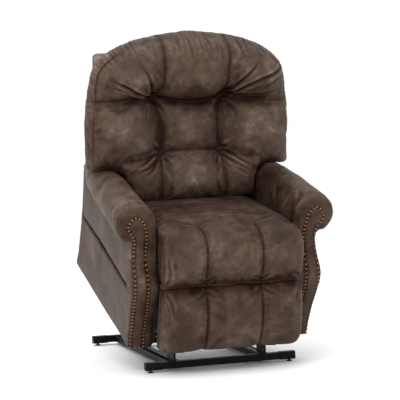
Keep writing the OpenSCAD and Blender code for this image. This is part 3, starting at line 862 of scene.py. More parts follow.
def back_pad():
    def face(V):
        return rbf(BACK_PTS[:, :2], BACK_PTS[:, 2], V)

    def rear(V):
        return np.minimum(yr(V[:, 1]) - 60.3, 661 + (V[:, 1] - 990) * 0.1)

    def edge(V):
        low = (V[:, 1] < 512) & (np.abs(V[:, 0]) < 262)
        return np.where(low, np.maximum(rear(V) - 120, 440), back_edge(V[:, 1]))

    def radius(V):
        z, x = V[:, 1], np.abs(V[:, 0])
        r = np.full(len(V), 84.0)
        r = r - 14 * smooth01((z - 930) / 60)
        low = smooth01((566 - z) / 26) * smooth01((285 - x) / 30)
        r = r * (1 - low) + 44 * low
        return r

    ob = pillow("back_pad", BACK_OUT, 9.0, face, edge, rear, radius, "xz", bulge=3.0, rear_r=10)
    # the boxing narrows towards the frame
    co = get_co(ob.data)
    u = np.clip((co[:, 1] - back_edge(co[:, 2])) / 84.7, 0, 1)
    wide = smooth01((co[:, 2] - 500) / 60)
    co[:, 0] *= 1 - 0.047 * u ** 1.3 * wide
    co[:, 2] -= np.where(co[:, 2] > 800, 25 * u * (co[:, 2] - 800) / 230, 0)
    set_co(ob.data, co)
    remesh(ob, 7.4)
    me = ob.data
    co = get_co(me)
    e = get_edges(me)
    co = relax(co, e, 3, 0.5)
    set_co(me, co)

    seams = back_seams()
    co, no = get_co(me), get_no(me)
    P = co[:, [0, 2]]
    pin = smooth01((co[:, 1] - (rear(P) - 26)) / 16)
    front = no[:, 1] < 0.1
    for line, depth, width, hold in seams:
        d, _, _ = seg_dist(P, line)
        pin = np.maximum(pin, np.where(front, hold * smooth01(1 - (d - 5) / 8), 0))
    for t in TUFTS:
        d = np.hypot(P[:, 0] - t[0], P[:, 1] - t[1])
        pin = np.maximum(pin, np.where(front, smooth01(1 - (d - 9) / 10), 0))
    # the seam round the front
    d, arc, tot = seg_dist(P, BACK_OUT, True)
    box = np.exp(-(((co[:, 1] - back_edge(co[:, 2]) + 28) / 9) ** 2)) * (d < 18)
    pin = np.maximum(pin, 0.85 * box)
    inflate(ob, pin, 22, frames=20, pressure=4.0, grow=0.03, bend=0.25)
    subdivide(ob, 1)

    me = ob.data
    co, no = get_co(me), get_no(me)
    edge_d, arc, tot = seg_dist(co[:, [0, 2]], BACK_OUT, True)

    def fn(co, no):
        P = co[:, [0, 2]]
        fr = smooth01((0.25 - no[:, 1]) / 0.5)
        v = np.zeros(len(co))
        for line, depth, width, hold in seams:
            v += crease(P, line, depth * 0.6, width * 0.9, (0.03, 0.03), 0.12)
            v += crease(P, line, depth * 0.85, width * 4.6, (0.03, 0.03), 0.0)
        for line, depth, width, tp in back_creases():
            v += crease(P, line, depth, width, tp, 0.38)
        # tufts
        for t in TUFTS:
            d = np.hypot(P[:, 0] - t[0], P[:, 1] - t[1])
            v -= 9 * np.exp(-((d / 9) ** 2))
            th = np.arctan2(P[:, 1] - t[1], P[:, 0] - t[0])
            v += 1.6 * np.sin(th * 7 + t[0] * 0.05 + 1.3 * np.sin(th * 2 + t[1])) * np.exp(-(((d - 26) / 18) ** 2))
        v *= fr
        # gathers along the seam round the front, strongest at the upper corners
        d, s, total = seg_dist(P, BACK_OUT, True)
        ph, idx, n, rng = pleats(s, total, 18.0, 5)
        amp = rng.uniform(0.35, 1.4, n)[idx]
        length = rng.uniform(8, 40, n)[idx]
        wave = (0.5 + 0.5 * np.cos(2 * np.pi * (ph + 0.06 * np.sin(d / 14)))) ** 1.5
        up = smooth01((P[:, 1] - 545) / 30) * (0.30 + 0.70 * smooth01((np.abs(P[:, 0]) - 150) / 110) * smooth01((P[:, 1] - 700) / 120))
        fade = smooth01(1 - (d - 3) / length)
        side = smooth01((no[:, 1] + 0.75) / 0.5) * smooth01((co[:, 1] - 430) / 60)
        sd = smooth01((yr(P[:, 1]) - 64 - co[:, 1]) / 20)
        v -= 2.3 * amp * wave * up * sd * np.clip(fade * 0.8 + side * 0.16 * (d < 18), 0, 1)
        # seam where the front meets the boxing
        sides = smooth01((np.abs(P[:, 0]) - 250) / 80)
        v -= 2.6 * sides * np.exp(-(((co[:, 1] - back_edge(P[:, 1]) + 28) / 4.0) ** 2)) * (d < 18) * smooth01((P[:, 1] - 530) / 20)
        # slow unevenness of the filling
        v += 1.5 * vnoise(co, 85, 3) * fr + 0.75 * vnoise(co, 34, 4) * fr + 0.28 * vnoise(co, 13, 5)
        return v

    push(ob, fn)
    co, e = get_co(me), get_edges(me)
    set_co(me, relax(co, e, 1, 0.35))

    # painted shade along the seam where the front meets the boxing, round the seams, creases and tufts, under the upper
    # pillow and low down; painted light on a band behind that seam and painted highlight on the crowns
    def dark(co, no):
        z = co[:, 2]
        de, _, _ = seg_dist(co[:, [0, 2]], BACK_OUT, True)
        near = smooth01((z - 530) / 20) * smooth01((np.abs(co[:, 0]) - 250) / 80) * (de < 22)
        off = co[:, 1] - back_edge(z) + 28
        behind = smooth01((off - 3) / 6) * near
        line = np.exp(-((off / 5.0) ** 2)) * near
        P = co[:, [0, 2]]
        fr = smooth01((0.35 - no[:, 1]) / 0.5)
        v = np.zeros(len(co))
        for l, depth, width, hold in seams:
            d, _, _ = seg_dist(P, l)
            v = np.maximum(v, 0.30 * np.exp(-((d / 15.0) ** 2)) * min(1, depth / 4.6))
        for l, depth, width, tp in back_creases():
            if depth > 3.5:
                d, _, _ = seg_dist(P, l)
                v = np.maximum(v, 0.05 * depth * np.exp(-((d / 8.0) ** 2)))
        for t in TUFTS:
            d = np.hypot(P[:, 0] - t[0], P[:, 1] - t[1])
            v = v + 0.42 * np.exp(-((d / 26.0) ** 2))
        # painted shade under the upper pillow
        v = v + 0.28 * np.exp(-(((P[:, 1] - 792) / 15) ** 2)) * smooth01((150 - np.abs(P[:, 0])) / 30)
        # painted shade low down and at the sides near the arms
        low = 0.30 * smooth01((470 - z) / 60) + 0.22 * smooth01((np.abs(P[:, 0]) - 205) / 45) * smooth01((560 - z) / 30)
        # painted highlight: gloss on the crowns
        crown_highlight = np.zeros(len(co))
        for cx, cz, rx, rz, a in ((-265, 690, 85, 80, 0.42), (0, 692, 62, 58, 0.55), (262, 690, 85, 75, 0.50), (-252, 880, 80, 60, 0.36), (-10, 512, 80, 46, 0.34),
                                  (10, 930, 95, 60, 0.24), (255, 930, 80, 55, 0.20)):
            crown_highlight = np.maximum(crown_highlight, a * np.exp(-(((P[:, 0] - cx) / rx) ** 2 + ((P[:, 1] - cz) / rz) ** 2) ** 1.2))
        return 0.60 * line - 0.16 * behind + (v + low - crown_highlight) * fr + 0.10

    # darker reddish brown painted shade along the seam round the front, the seams and the creases
    def red_shade(co, no):
        de, _, _ = seg_dist(co[:, [0, 2]], BACK_OUT, True)
        off = co[:, 1] - back_edge(co[:, 2]) + 28
        r = 0.8 * np.exp(-((off / 8.0) ** 2)) * smooth01((np.abs(co[:, 0]) - 250) / 80) * (de < 22)
        P = co[:, [0, 2]]
        for l, depth, width, hold in seams:
            d, _, _ = seg_dist(P, l)
            r = np.maximum(r, 0.42 * np.exp(-((d / 8.0) ** 2)))
        for l, depth, width, tp in back_creases():
            d, _, _ = seg_dist(P, l)
            r = np.maximum(r, min(0.45, 0.07 * depth) * np.exp(-((d / 7.0) ** 2)))
        return r
    finish_soft(ob, 0.0, dark, red_shade)
    place(ob)
    paint(ob, "upholstery")
    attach(ob, "back")
    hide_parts("back_cushion")
    return ob


def back_seams():
    """(line in (x, z), depth, width, how firmly the seam holds)"""
    out = []
    def a(pts, depth, width, hold):
        out.append((spline(pts), depth, width, hold))
    a([(-117, 1034), (-122, 985), (-126, 926), (-126, 862), (-140, 800), (-146, 790)], 4.4, 3.6, 0.75)
    a([(142, 1024), (138, 975), (129, 916), (128, 860), (136, 805), (138, 784)], 4.4, 3.6, 0.75)
    a([(-144, 782), (-122, 730), (-113, 670), (-114, 625), (-117, 589)], 4.8, 3.8, 1.0)
    a([(136, 772), (117, 730), (112, 670), (114, 625), (119, 589)], 4.8, 3.8, 1.0)
    for s in (1, -1):
        a([(s * 119, 580), (s * 127, 540), (s * 129, 490), (s * 128, 425)], 4.0, 3.8, 0.7)
        a([(s * 118, 584), (s * 165, 577), (s * 210, 571), (s * 250, 566)], 3.8, 4.2, 0.9)
    a([(-148, 787), (-192, 790), (-258, 795), (-319, 793), (-392, 788)], 3.4, 3.6, 0.8)
    a([(140, 779), (165, 784), (221, 777), (285, 775), (392, 768)], 3.4, 3.6, 0.8)
    a([(-146, 787), (-93, 777), (-34, 772), (26, 768), (89, 770), (138, 778)], 6.0, 5.0, 1.0)
    a([(-117, 584), (-66, 600), (0, 605), (66, 600), (119, 584)], 4.6, 4.6, 1.0)
    return out


def back_creases():
    """folds that pull towards the tufts: (line, depth, width, (taper in, taper out))"""
    c = []
    def a(pts, depth, width, tp=(0.12, 0.8)):
        c.append((spline(pts, 8), depth, width, tp))
    # upper left of the picture
    a([(-150, 790), (-192, 810), (-226, 832), (-258, 852), (-297, 873), (-326, 885)], 8.5, 6.0, (0.08, 0.35))
    a([(-165, 799), (-210, 819), (-256, 838), (-296, 852), (-340, 861)], 4.0, 5.2, (0.1, 0.5))
    a([(-146, 800), (-160, 822), (-172, 862), (-193, 911), (-216, 944)], 6.0, 6.0, (0.1, 0.6))
    a([(-143, 803), (-152, 830), (-160, 864)], 4.5, 5.0)
    a([(-140, 800), (-134, 826), (-130, 858)], 3.2, 5.0)
    a([(-150, 798), (-180, 828), (-212, 872)], 3.0, 6.0)
    a([(-176, 788), (-230, 782), (-300, 776)], 2.6, 6.0, (0.1, 0.5))
    # upper right
    a([(144, 784), (168, 802), (190, 832), (219, 856), (258, 874), (294, 882), (324, 888), (350, 892), (376, 896)], 8.2, 6.0, (0.05, 0.06))
    a([(205, 838), (243, 857), (276, 866), (306, 871)], 3.4, 4.6, (0.2, 0.4))
    a([(148, 794), (163, 838), (184, 874), (221, 913), (265, 953)], 5.5, 6.0, (0.1, 0.5))
    a([(150, 786), (220, 800), (291, 806), (354, 830)], 3.6, 6.0, (0.1, 0.4))
    a([(140, 796), (148, 836), (156, 880)], 4.0, 5.5)
    a([(260, 830), (320, 858), (366, 872)], 2.6, 5.0, (0.4, 0.4))
    a([(216, 1013), (218, 1000), (217, 984)], 4.0, 4.5, (0.1, 0.5))
    # under the upper tufts
    a([(-140, 776), (-110, 750), (-92, 714)], 3.2, 6.0)
    a([(132, 768), (110, 746), (96, 708)], 3.0, 6.0)
    a([(-152, 776), (-174, 748), (-184, 712)], 2.8, 6.0)
    a([(146, 768), (168, 742), (180, 704)], 2.8, 6.0)
    # lower left
    a([(-126, 578), (-146, 562), (-177, 546), (-228, 530)], 6.2, 5.5, (0.1, 0.6))
    a([(-124, 574), (-142, 556), (-168, 536), (-206, 518)], 5.2, 5.0, (0.1, 0.6))
    a([(-121, 572), (-134, 546), (-152, 522)], 3.8, 4.6)
    a([(-118, 571), (-122, 546), (-121, 512)], 3.4, 4.4)
    a([(-112, 575), (-92, 556), (-72, 540)], 2.8, 5.0)
    a([(-134, 582), (-178, 566), (-222, 548)], 4.2, 5.0, (0.1, 0.5))
    # lower right
    a([(124, 578), (146, 562), (176, 548), (226, 521)], 6.0, 5.5, (0.1, 0.6))
    a([(134, 584), (166, 572), (198, 556), (240, 535)], 5.2, 5.0, (0.1, 0.5))
    a([(121, 572), (136, 546), (158, 522)], 4.0, 4.8)
    a([(117, 571), (119, 540), (116, 505)], 3.0, 4.6)
    a([(112, 575), (94, 554), (70, 538)], 2.8, 5.0)
    a([(150, 548), (196, 520), (232, 492)], 2.6, 5.0, (0.3, 0.5))
    # above the lower tufts
    a([(-122, 592), (-146, 616), (-166, 644)], 2.6, 6.0)
    a([(122, 592), (150, 614), (176, 640)], 3.0, 6.0)
    a([(-112, 592), (-92, 616), (-78, 642)], 2.2, 6.0)
    a([(112, 592), (92, 616), (80, 640)], 2.2, 6.0)
    # small folds over the upper edge
    a([(-18, 1020), (-20, 985), (-16, 955)], 2.4, 5.0, (0.1, 0.6))
    a([(24, 1021), (26, 990), (22, 966)], 2.0, 5.0, (0.1, 0.6))
    a([(60, 1018), (64, 992), (60, 970)], 1.8, 5.0, (0.1, 0.6))
    a([(182, 1004), (190, 970), (196, 940)], 2.2, 6.0, (0.1, 0.6))
    a([(-60, 1018), (-64, 992), (-60, 970)], 1.6, 5.0, (0.1, 0.6))
    return c


back_pad()


# ------------------------------------------------------------------ seat and footrest
def swept_pad(name, profile, half, spacing, voxel, crown, shape, end_r, pinfn, fn, grow, cap, bend=0.4):
    """pad made from a closed side profile in (y, z), with rounded ends at +-half"""
    P = spline(profile, spacing, closed=True)
    cen = P.mean(0)
    n = len(P)
    area = 0.5 * np.sum(P[:, 0] * np.roll(P[:, 1], -1) - np.roll(P[:, 0], -1) * P[:, 1])
    tan = np.roll(P, -1, 0) - np.roll(P, 1, 0)
    nor = np.column_stack([tan[:, 1], -tan[:, 0]])
    nor /= np.linalg.norm(nor, axis=1)[:, None]
    if area < 0:
        nor = -nor
    xs = list(np.arange(-half + end_r, half - end_r + 1, spacing))
    ends = [end_r * (1 - math.cos(t)) for t in np.linspace(0, math.pi / 2, 7)][:-1]
    rings = []
    left = [(-half + end_r * (1 - math.sin(t)), end_r * (1 - math.cos(t))) for t in np.linspace(math.pi / 2, 0.1, 7)]
    stations = [(x, i) for x, i in left] + [(x, 0.0) for x in xs[1:-1]] + [(-x, i) for x, i in reversed(left)]
    hold = shape(P, nor) if shape else 1.0
    for x, inset in stations:
        off = -inset * hold + crown(np.full(n, x), P)
        Q = P + nor * off[:, None]
        rings.append(np.column_stack([np.full(n, x), Q]))
    ob = loft(name, np.array(rings))
    remesh(ob, voxel)
    me = ob.data
    set_co(me, relax(get_co(me), get_edges(me), 3, 0.5))
    inflate(ob, pinfn(get_co(me), get_no(me)), cap, frames=18, pressure=4.0, grow=grow, bend=bend)
    subdivide(ob, 1)
    push(ob, fn)
    me = ob.data
    set_co(me, relax(get_co(me), get_edges(me), 1, 0.35))
    return ob


SEAT = [(-64, 285.5), (-97, 286.5), (-119, 300), (-130, 332), (-133, 370), (-127, 416), (-108, 450), (-76, 470), (-34, 476), (60, 466), (200, 441),
        (330, 415), (420, 397), (480, 386), (486, 378), (486, 348), (478, 341), (200, 341), (0, 341), (-36, 339), (-52, 322)]
SEAM_X = 105.0


def seat_pad():
    def crown(x, P):
        front = smooth01((20 - P[:, 0]) / 60) * smooth01((P[:, 1] - 291) / 14)
        top = smooth01((P[:, 1] - 345) / 30) * smooth01((470 - P[:, 0]) / 60)
        w = np.maximum(front, top * 0.2)
        pads = np.minimum(np.abs(np.abs(x) - SEAM_X), 75) / 75
        valley = np.exp(-((np.abs(np.abs(x) - SEAM_X) / 16) ** 2))
        return w * (3.0 * pads ** 0.7 - 7.0 * valley) + top * 4 * (1 - (x / 256) ** 2)

    def pinfn(co, no):
        p = smooth01((350 - co[:, 2]) / 8) * (co[:, 1] > -30)
        d = np.abs(np.abs(co[:, 0]) - SEAM_X)
        fr = smooth01((26 - co[:, 1]) / 30) * (co[:, 2] > 292)
        p = np.maximum(p, fr * smooth01(1 - (d - 4) / 8))
        side = smooth01((np.abs(co[:, 0]) - 246) / 6) * (no[:, 0] ** 2 > 0.5)
        p = np.maximum(p, 0.9 * side)
        p = np.maximum(p, smooth01((296 - co[:, 2]) / 6))
        return p

    cr = []
    def a(pts, depth, width, tp=(0.15, 0.6)):
        cr.append((spline(pts, 8), depth, width, tp))
    # on the front, in (x, z)
    a([(-243, 426), (-247, 396), (-240, 360), (-243, 326), (-250, 306)], 4.2, 5, (0.2, 0.2))
    a([(-228, 398), (-222, 372)], 1.8, 5, (0.3, 0.3))
    a([(-252, 300), (-236, 324), (-214, 338)], 3.0, 6)
    a([(-104, 300), (-84, 322), (-60, 330)], 2.4, 6)
    a([(104, 300), (84, 320), (56, 326)], 2.0, 6)
    a([(106, 300), (128, 322), (150, 328)], 2.0, 6)
    a([(-106, 300), (-130, 318), (-156, 322)], 2.0, 6)
    a([(250, 300), (232, 322), (206, 332)], 2.4, 6)
    top = []
    def b(pts, depth, width, tp=(0.2, 0.5)):
        top.append((spline(pts, 8), depth, width, tp))
    # on the top, in (x, y)
    b([(-106, -24), (-150, -22), (-200, -28)], 3.2, 4.5, (0.05, 0.5))
    b([(-104, -20), (-80, -8), (-50, 2)], 2.0, 7)
    b([(106, -20), (88, -6), (60, 4)], 2.0, 7)
    b([(112, -16), (150, -2), (196, 4)], 1.8, 7)
    b([(-240, 60), (-180, 74), (-120, 70)], 2.0, 16, (0.3, 0.3))
    b([(60, 100), (140, 88), (220, 96)], 2.0, 18, (0.3, 0.3))

    def fn(co, no):
        x, y, z = co.T
        v = np.zeros(len(co))
        d = np.abs(np.abs(x) - SEAM_X)
        fr = smooth01((4 - y) / 24) * smooth01((z - 286) / 10)
        v -= 3.0 * np.exp(-((d / 3.4) ** 2)) * fr
        v += 0.9 * np.exp(-(((d - 9) / 5) ** 2)) * fr
        P = co[:, [0, 2]]
        F = smooth01((-no[:, 1] - 0.2) / 0.3)
        for line, depth, width, tp in cr:
            v += crease(P, line, depth, width, tp, 0.35) * F
        P = co[:, [0, 1]]
        T = smooth01((no[:, 2] - 0.2) / 0.3)
        for line, depth, width, tp in top:
            v += crease(P, line, depth, width, tp, 0.35) * T
        # short puckers across the seams
        s = np.where(z > 440, -y, 480 - z + 20)
        ph = np.sin(2 * np.pi * s / 13.0 + 2.0 * np.sin(s / 21.0))
        v += 0.55 * ph * np.exp(-(((d - 6) / 7) ** 2)) * fr
        v += 1.3 * vnoise(co, 95, 13) + 0.7 * vnoise(co, 38, 14) + 0.25 * vnoise(co, 14, 15)
        return v

    ob = swept_pad("seat_pad", SEAT, 255, 8.0, 6.8, crown, lambda P, nor: np.where(nor[:, 1] < -0.6, 0.25, np.where(P[:, 0] > 440, 0.3, 0.75)), 14, pinfn, fn, 0.02, 16)
    me = ob.data
    co = get_co(me)
    co[:, 0] += np.sign(co[:, 0]) * 6.5 * smooth01((np.abs(co[:, 0]) - 190) / 60) * smooth01((-66 - co[:, 1]) / 14)
    set_co(me, co)
    # painted shade: darker on faces turned down and on the top, at the sides by the arms, in the seam valleys, towards
    # the bottom and a little overall; darker reddish brown painted shade at the bottom and along the seams on the front
    finish_soft(ob, 0.02, lambda co, no: 0.5 * smooth01((-0.15 - no[:, 2]) / 0.4) + 0.24 * smooth01((no[:, 2] - 0.5) / 0.4) + 0.25 * smooth01((np.abs(co[:, 0]) - 225) / 25)
                + 0.20 * np.exp(-((np.abs(np.abs(co[:, 0]) - SEAM_X) / 12) ** 2)) * smooth01((10 - co[:, 1]) / 30) + 0.36 * smooth01((312 - co[:, 2]) / 24) + 0.16,
                lambda co, no: np.maximum(0.45 * smooth01((332 - co[:, 2]) / 36), 0.45 * np.exp(-((np.abs(np.abs(co[:, 0]) - SEAM_X) / 7) ** 2))) * smooth01((10 - co[:, 1]) / 20))
    place(ob)
    paint(ob, "upholstery")
    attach(ob, "seat")
    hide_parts("seat_cushion")


FACE = np.array([(0, -2), (60, -6), (130, -24), (190, -46), (240, -60), (275, -63), (310, -50), (340, -26), (362, -8), (400, -2), (450, -6), (500, -8), (545, -4), (574, 4)], float)


def face_y(z):
    return np.interp(z, FACE[:, 0], FACE[:, 1])


FOOT = [(-69, 27), (-84, 26), (-109, 36), (-133, 48), (-153, 64), (-164, 88), (-170, 125), (-169, 165), (-163, 203), (-149, 237), (-131, 263), (-111, 279), (-86, 283.4), (-70, 283.6),
        (-67, 266), (-67, 200), (-67, 120), (-67, 40)]


def footrest_pad():
    def crown(x, P):
        front = smooth01((-72 - P[:, 0]) / 18) * smooth01((276 - P[:, 1]) / 12)
        pads = np.minimum(np.abs(np.abs(x) - SEAM_X), 75) / 75
        valley = np.exp(-((np.abs(np.abs(x) - SEAM_X) / 15) ** 2))
        return front * (2.2 * pads ** 0.7 - 3.6 * valley)

    def pinfn(co, no):
        x, y, z = co.T
        p = smooth01((y + 74) / 5)
        d = np.abs(np.abs(x) - SEAM_X)
        p = np.maximum(p, smooth01((-78 - y) / 8) * smooth01(1 - (d - 4) / 8))
        p = np.maximum(p, 0.9 * smooth01((np.abs(x) - 260) / 4))
        return p

    cr = []
    def a(pts, depth, width, tp=(0.15, 0.6)):
        cr.append((spline([(x, 26 + (z + 12) * 0.9036) for x, z in pts], 8), depth, width, tp))
    a([(-256, 262), (-240, 222), (-236, 170)], 4.2, 5.5, (0.1, 0.6))
    a([(-262, 250), (-250, 200), (-252, 150)], 2.6, 5, (0.2, 0.5))
    a([(-106, 262), (-128, 244), (-160, 238)], 2.4, 6)
    a([(-104, 262), (-80, 246), (-52, 242)], 2.6, 6)
    a([(104, 262), (82, 246), (50, 240)], 2.2, 6)
    a([(106, 262), (132, 246), (160, 240)], 2.2, 6)
    a([(256, 262), (236, 232), (226, 196)], 2.6, 6)
    a([(-160, -10), (-170, 12), (-172, 30)], 2.2, 6)
    a([(30, -10), (34, 10), (30, 34)], 2.0, 6)
    a([(190, -10), (182, 14), (186, 36)], 2.0, 6)
    a([(-106, -10), (-98, 20), (-96, 46)], 1.8, 6)

    def fn(co, no):
        x, y, z = co.T
        v = np.zeros(len(co))
        d = np.abs(np.abs(x) - SEAM_X)
        fr = smooth01((-76 - y) / 10)
        v -= 3.0 * np.exp(-((d / 3.4) ** 2)) * fr
        v += 0.9 * np.exp(-(((d - 9) / 5) ** 2)) * fr
        P = co[:, [0, 2]]
        F = smooth01((-no[:, 1] - 0.1) / 0.3)
        for line, depth, width, tp in cr:
            v += crease(P, line, depth, width, tp, 0.35) * F
        ph = np.sin(2 * np.pi * z / 13.0 + 2.0 * np.sin(z / 23.0))
        v += 0.5 * ph * np.exp(-(((d - 6) / 7) ** 2)) * fr
        v += (1.3 * vnoise(co, 90, 23) + 0.7 * vnoise(co, 36, 24)) * fr + 0.22 * vnoise(co, 14, 25)
        return v

    ob = swept_pad("footrest_pad", FOOT, 258.5, 8.0, 6.8, crown, lambda P, nor: np.where(nor[:, 0] > 0.3, 0.0, np.clip((-76 - P[:, 0]) / 45, 0, 1) * (1 - 0.8 * np.abs(nor[:, 1]))), 13, pinfn, fn, 0.02, 13)
    me = ob.data
    co = get_co(me)
    w = smooth01((np.abs(co[:, 0]) - 241) / 6) * smooth01((co[:, 1] + 90) / 21) * smooth01((co[:, 2] - 30) / 14) * smooth01((278 - co[:, 2]) / 14)
    co[:, 1] += 27 * w
    co[:, 0] = np.where(w > 0, np.clip(co[:, 0], -258.5 + 3 * w, 258.5 - 3 * w), co[:, 0] + 3.0 * smooth01((co[:, 2] - 100) / 170) * smooth01((-90 - co[:, 1]) / 20))
    set_co(me, co)
    # painted shade: darker towards the bottom, at the top under the seat's nose, along the seams, strongly on the pad's
    # end beside the arm and a little overall; darker reddish brown painted shade at the top and along the seams
    flank_shade = lambda co: smooth01((np.abs(co[:, 0]) - 246) / 6) * smooth01((co[:, 1] + 112) / 40)
    edge = lambda co: np.exp(-((np.abs(np.abs(co[:, 0]) - SEAM_X) / 12) ** 2))
    finish_soft(ob, 0.0, lambda co, no: 0.4 * smooth01((88 - co[:, 2]) / 70) + 0.46 * smooth01((co[:, 2] - 256) / 20) + 0.20 * edge(co) + 1.2 * flank_shade(co) + 0.17,
                lambda co, no: np.maximum(0.40 * smooth01((co[:, 2] - 246) / 32), 0.45 * np.exp(-((np.abs(np.abs(co[:, 0]) - SEAM_X) / 7) ** 2))))
    place(ob)
    paint(ob, "upholstery")
    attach(ob, "footrest")
    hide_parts("footrest_cushion")


def front_fold():
    """soft fold of the cover under the front edge of the seat"""
    path = [(x, -98 + 2.2 * math.sin(x / 31.0 + 0.8 * math.sin(x / 53.0)), 285.2 + 0.9 * math.sin(x / 23.0 + math.sin(x / 47.0))) for x in np.arange(-252, 252.1, 6)]
    end = [(256.5, -95, 285), (258.6, -88, 284.6), (259.2, -79, 284.4), (259, -69, 284.2), (258.4, -60, 284)]
    path = [(-x, y, z) for x, y, z in reversed(end)] + path + end
    ob = tube("seat_front_fold", path, lambda t: 5.4 * min(1.0, 0.6 + 20 * min(t, 1 - t)), 14)
    subdivide(ob, 1)
    push(ob, lambda co, no: 0.6 * vnoise(co, 22, 91) + 0.3 * vnoise(co, 9, 92))
    # painted shade: the fold sits in the groove under the seat's nose, so it is painted much darker and reddish brown
    finish_soft(ob, -0.55, None, lambda co, no: np.full(len(co), 0.55))
    place(ob)
    paint(ob, "upholstery")
    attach(ob, "seat")


seat_pad()
footrest_pad()
front_fold()


# ------------------------------------------------------------------ arms
ROLL = [(20, 341, 494, 77.5), (265, 337, 480, 72.5), (415, 331, 466, 68.5), (600, 325, 451, 57.0), (690, 318, 434, 41.0), (784, 311, 427, 37.5)]
def face_s(z):
    """the same line with its corners eased"""
    return (face_y(z - 9) + face_y(z + 9) + face_y(z)) / 3.0


def arm_pad(s):
    side = "right" if s > 0 else "left"
    R = np.array(ROLL, float)
    ys = np.concatenate([[8, 12, 16], np.arange(20, 760, 8), [764, 774, 780, 784]])
    rings = []
    for y in ys:
        cx, cz, r = (np.interp(y, R[:, 0], R[:, k]) for k in (1, 2, 3))
        if y < 20:
            r -= (20 - y) * 0.55
        if y > 764:
            r -= (y - 764) * 0.3
        # arc from the outer foot, over the top, to the inner side
        a0 = -math.asin(min(1, (cz - 428) / r)) if cz - 428 < r else -math.pi / 2 + 0.4
        t = np.linspace(a0, math.pi, 44)
        arc = np.column_stack([cx + r * np.cos(t), cz + r * np.sin(t)])
        # the top slopes at the rear, under the back
        cap = 530 - (y - 470) * 0.2545 - 5.0 * smooth01((y - 420) / 60)
        arc[:, 1] = np.where(arc[:, 1] > cap - 6, cap - 6 + 6 * np.tanh((arc[:, 1] - cap + 6) / 6), arc[:, 1])
        xi = 260.8
        # down the inner side
        xa, za = arc[-1]
        drop = np.array([[xa + (xi - xa) * float(smooth01(u)), za + (404 - za) * u] for u in (0.12, 0.25, 0.4, 0.55, 0.7, 0.85)])
        inner = np.vstack([drop, [[xi, 400], [xi, 330], [xi, 250], [xi, 180], [xi + 1, 166], [xi + 4, 164.4], [284, 165], [289.4, 170], [289.4, 250], [289.4, 330], [289.4, 400], [290, 424], [300, 427], [316, 427]]])
        outer_in = np.array([[340, 427]])
        sec = np.vstack([arc, inner, outer_in])
        rings.append(np.column_stack([sec[:, 0], np.full(len(sec), y), sec[:, 1]]))
    ob = loft("arm_pad_" + side, np.array(rings))
    remesh(ob, 6.0)
    me = ob.data
    set_co(me, relax(get_co(me), get_edges(me), 4, 0.5))
    co, no = get_co(me), get_no(me)
    pin = np.maximum(smooth01((431 - co[:, 2]) / 6), smooth01((24 - co[:, 1]) / 6))
    pin = np.maximum(pin, smooth01((co[:, 1] - 560) / 60))
    inflate(ob, pin, 7, frames=12, pressure=2.0, grow=0.015, bend=0.6)
    subdivide(ob, 1)
    cr = []
    def a(pts, depth, width, tp=(0.2, 0.6)):
        cr.append((spline(pts, 8), depth, width, tp))
    # over the top, in (x, y)
    if s > 0:
        a([(280, 26), (296, 60), (306, 110)], 2.6, 9)
        a([(268, 60), (276, 130), (284, 220)], 2.2, 14, (0.3, 0.5))
        a([(404, 24), (396, 60), (386, 96)], 2.0, 8)
    else:
        a([(274, 22), (284, 50), (292, 92)], 2.8, 8)
        a([(268, 70), (280, 150), (290, 240)], 2.2, 14, (0.3, 0.5))
        a([(400, 24), (392, 66), (380, 110)], 2.2, 8)
        a([(360, 24), (356, 60), (350, 92)], 1.6, 8)

    def fn(co, no):
        x, y, z = co.T
        v = np.zeros(len(co))
        top = smooth01((no[:, 2] + 0.1) / 0.3)
        P = co[:, [0, 1]]
        for line, depth, width, tp in cr:
            v += crease(P, line, depth, width, tp, 0.35) * top
        # gathers where the cover meets the round front
        th = np.arctan2(z - 494, x - 341)
        s_ = th * 78 + 400
        ph, idx, n, rng = pleats(s_, 78 * 2 * math.pi, 17.0, 41 + (s > 0))
        amp = rng.uniform(0.3, 1.2, n)[idx]
        ln = rng.uniform(14, 40, n)[idx]
        wave = (0.5 + 0.5 * np.cos(2 * np.pi * ph)) ** 1.5
        v -= 1.0 * amp * wave * smooth01(1 - (y - 18) / ln) * smooth01((z - 436) / 20)
        v += (1.7 * vnoise(co, 120, 31 + int(s > 0)) + 0.8 * vnoise(co, 44, 33)) * smooth01((z - 430) / 40) + 0.22 * vnoise(co, 15, 34)
        # shallow sag of the arm top
        v -= 2.0 * np.exp(-(((y - 200) / 120) ** 2)) * top * smooth01((z - 480) / 40)
        return v

    push(ob, fn)
    me = ob.data
    set_co(me, relax(get_co(me), get_edges(me), 1, 0.35))

    # painted shade on the inner side, towards the front end, at the rear under the back and on the whole right arm;
    # painted highlight with some rubbing along the roll's outermost line
    def dark(co, no):
        x, y, z = co.T
        ridge_highlight = np.exp(-(((x - np.interp(y, R[:, 0], R[:, 1] + R[:, 3])) / 7) ** 2)) * (no[:, 0] > 0.3)
        inner = smooth01((-no[:, 0] - 0.3) / 0.5) * 0.55
        front = 0.22 * smooth01((64 - y) / 44)
        back = 0.35 * smooth01((y - 540) / 60) * smooth01((330 - x) / 40)
        return inner + front + back - 0.40 * ridge_highlight + (0.26 if s > 0 else 0.02)
    finish_soft(ob, 0.05, dark)
    place(ob, mirror=s < 0)
    paint(ob, "upholstery_arm")
    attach(ob, "chair")
    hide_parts(f"arm_roll_{side}", f"arm_inner_{side}")


NAIL_PATH = [(295, 12), (296, 110), (299, 200), (301, 272), (303, 350), (300, 428), (303, 462), (310, 494), (322, 516), (341, 526), (358, 518), (371, 500),
             (373, 484), (364, 468), (348, 446), (344, 424), (346, 390), (350, 282), (346, 150), (343, 12)]


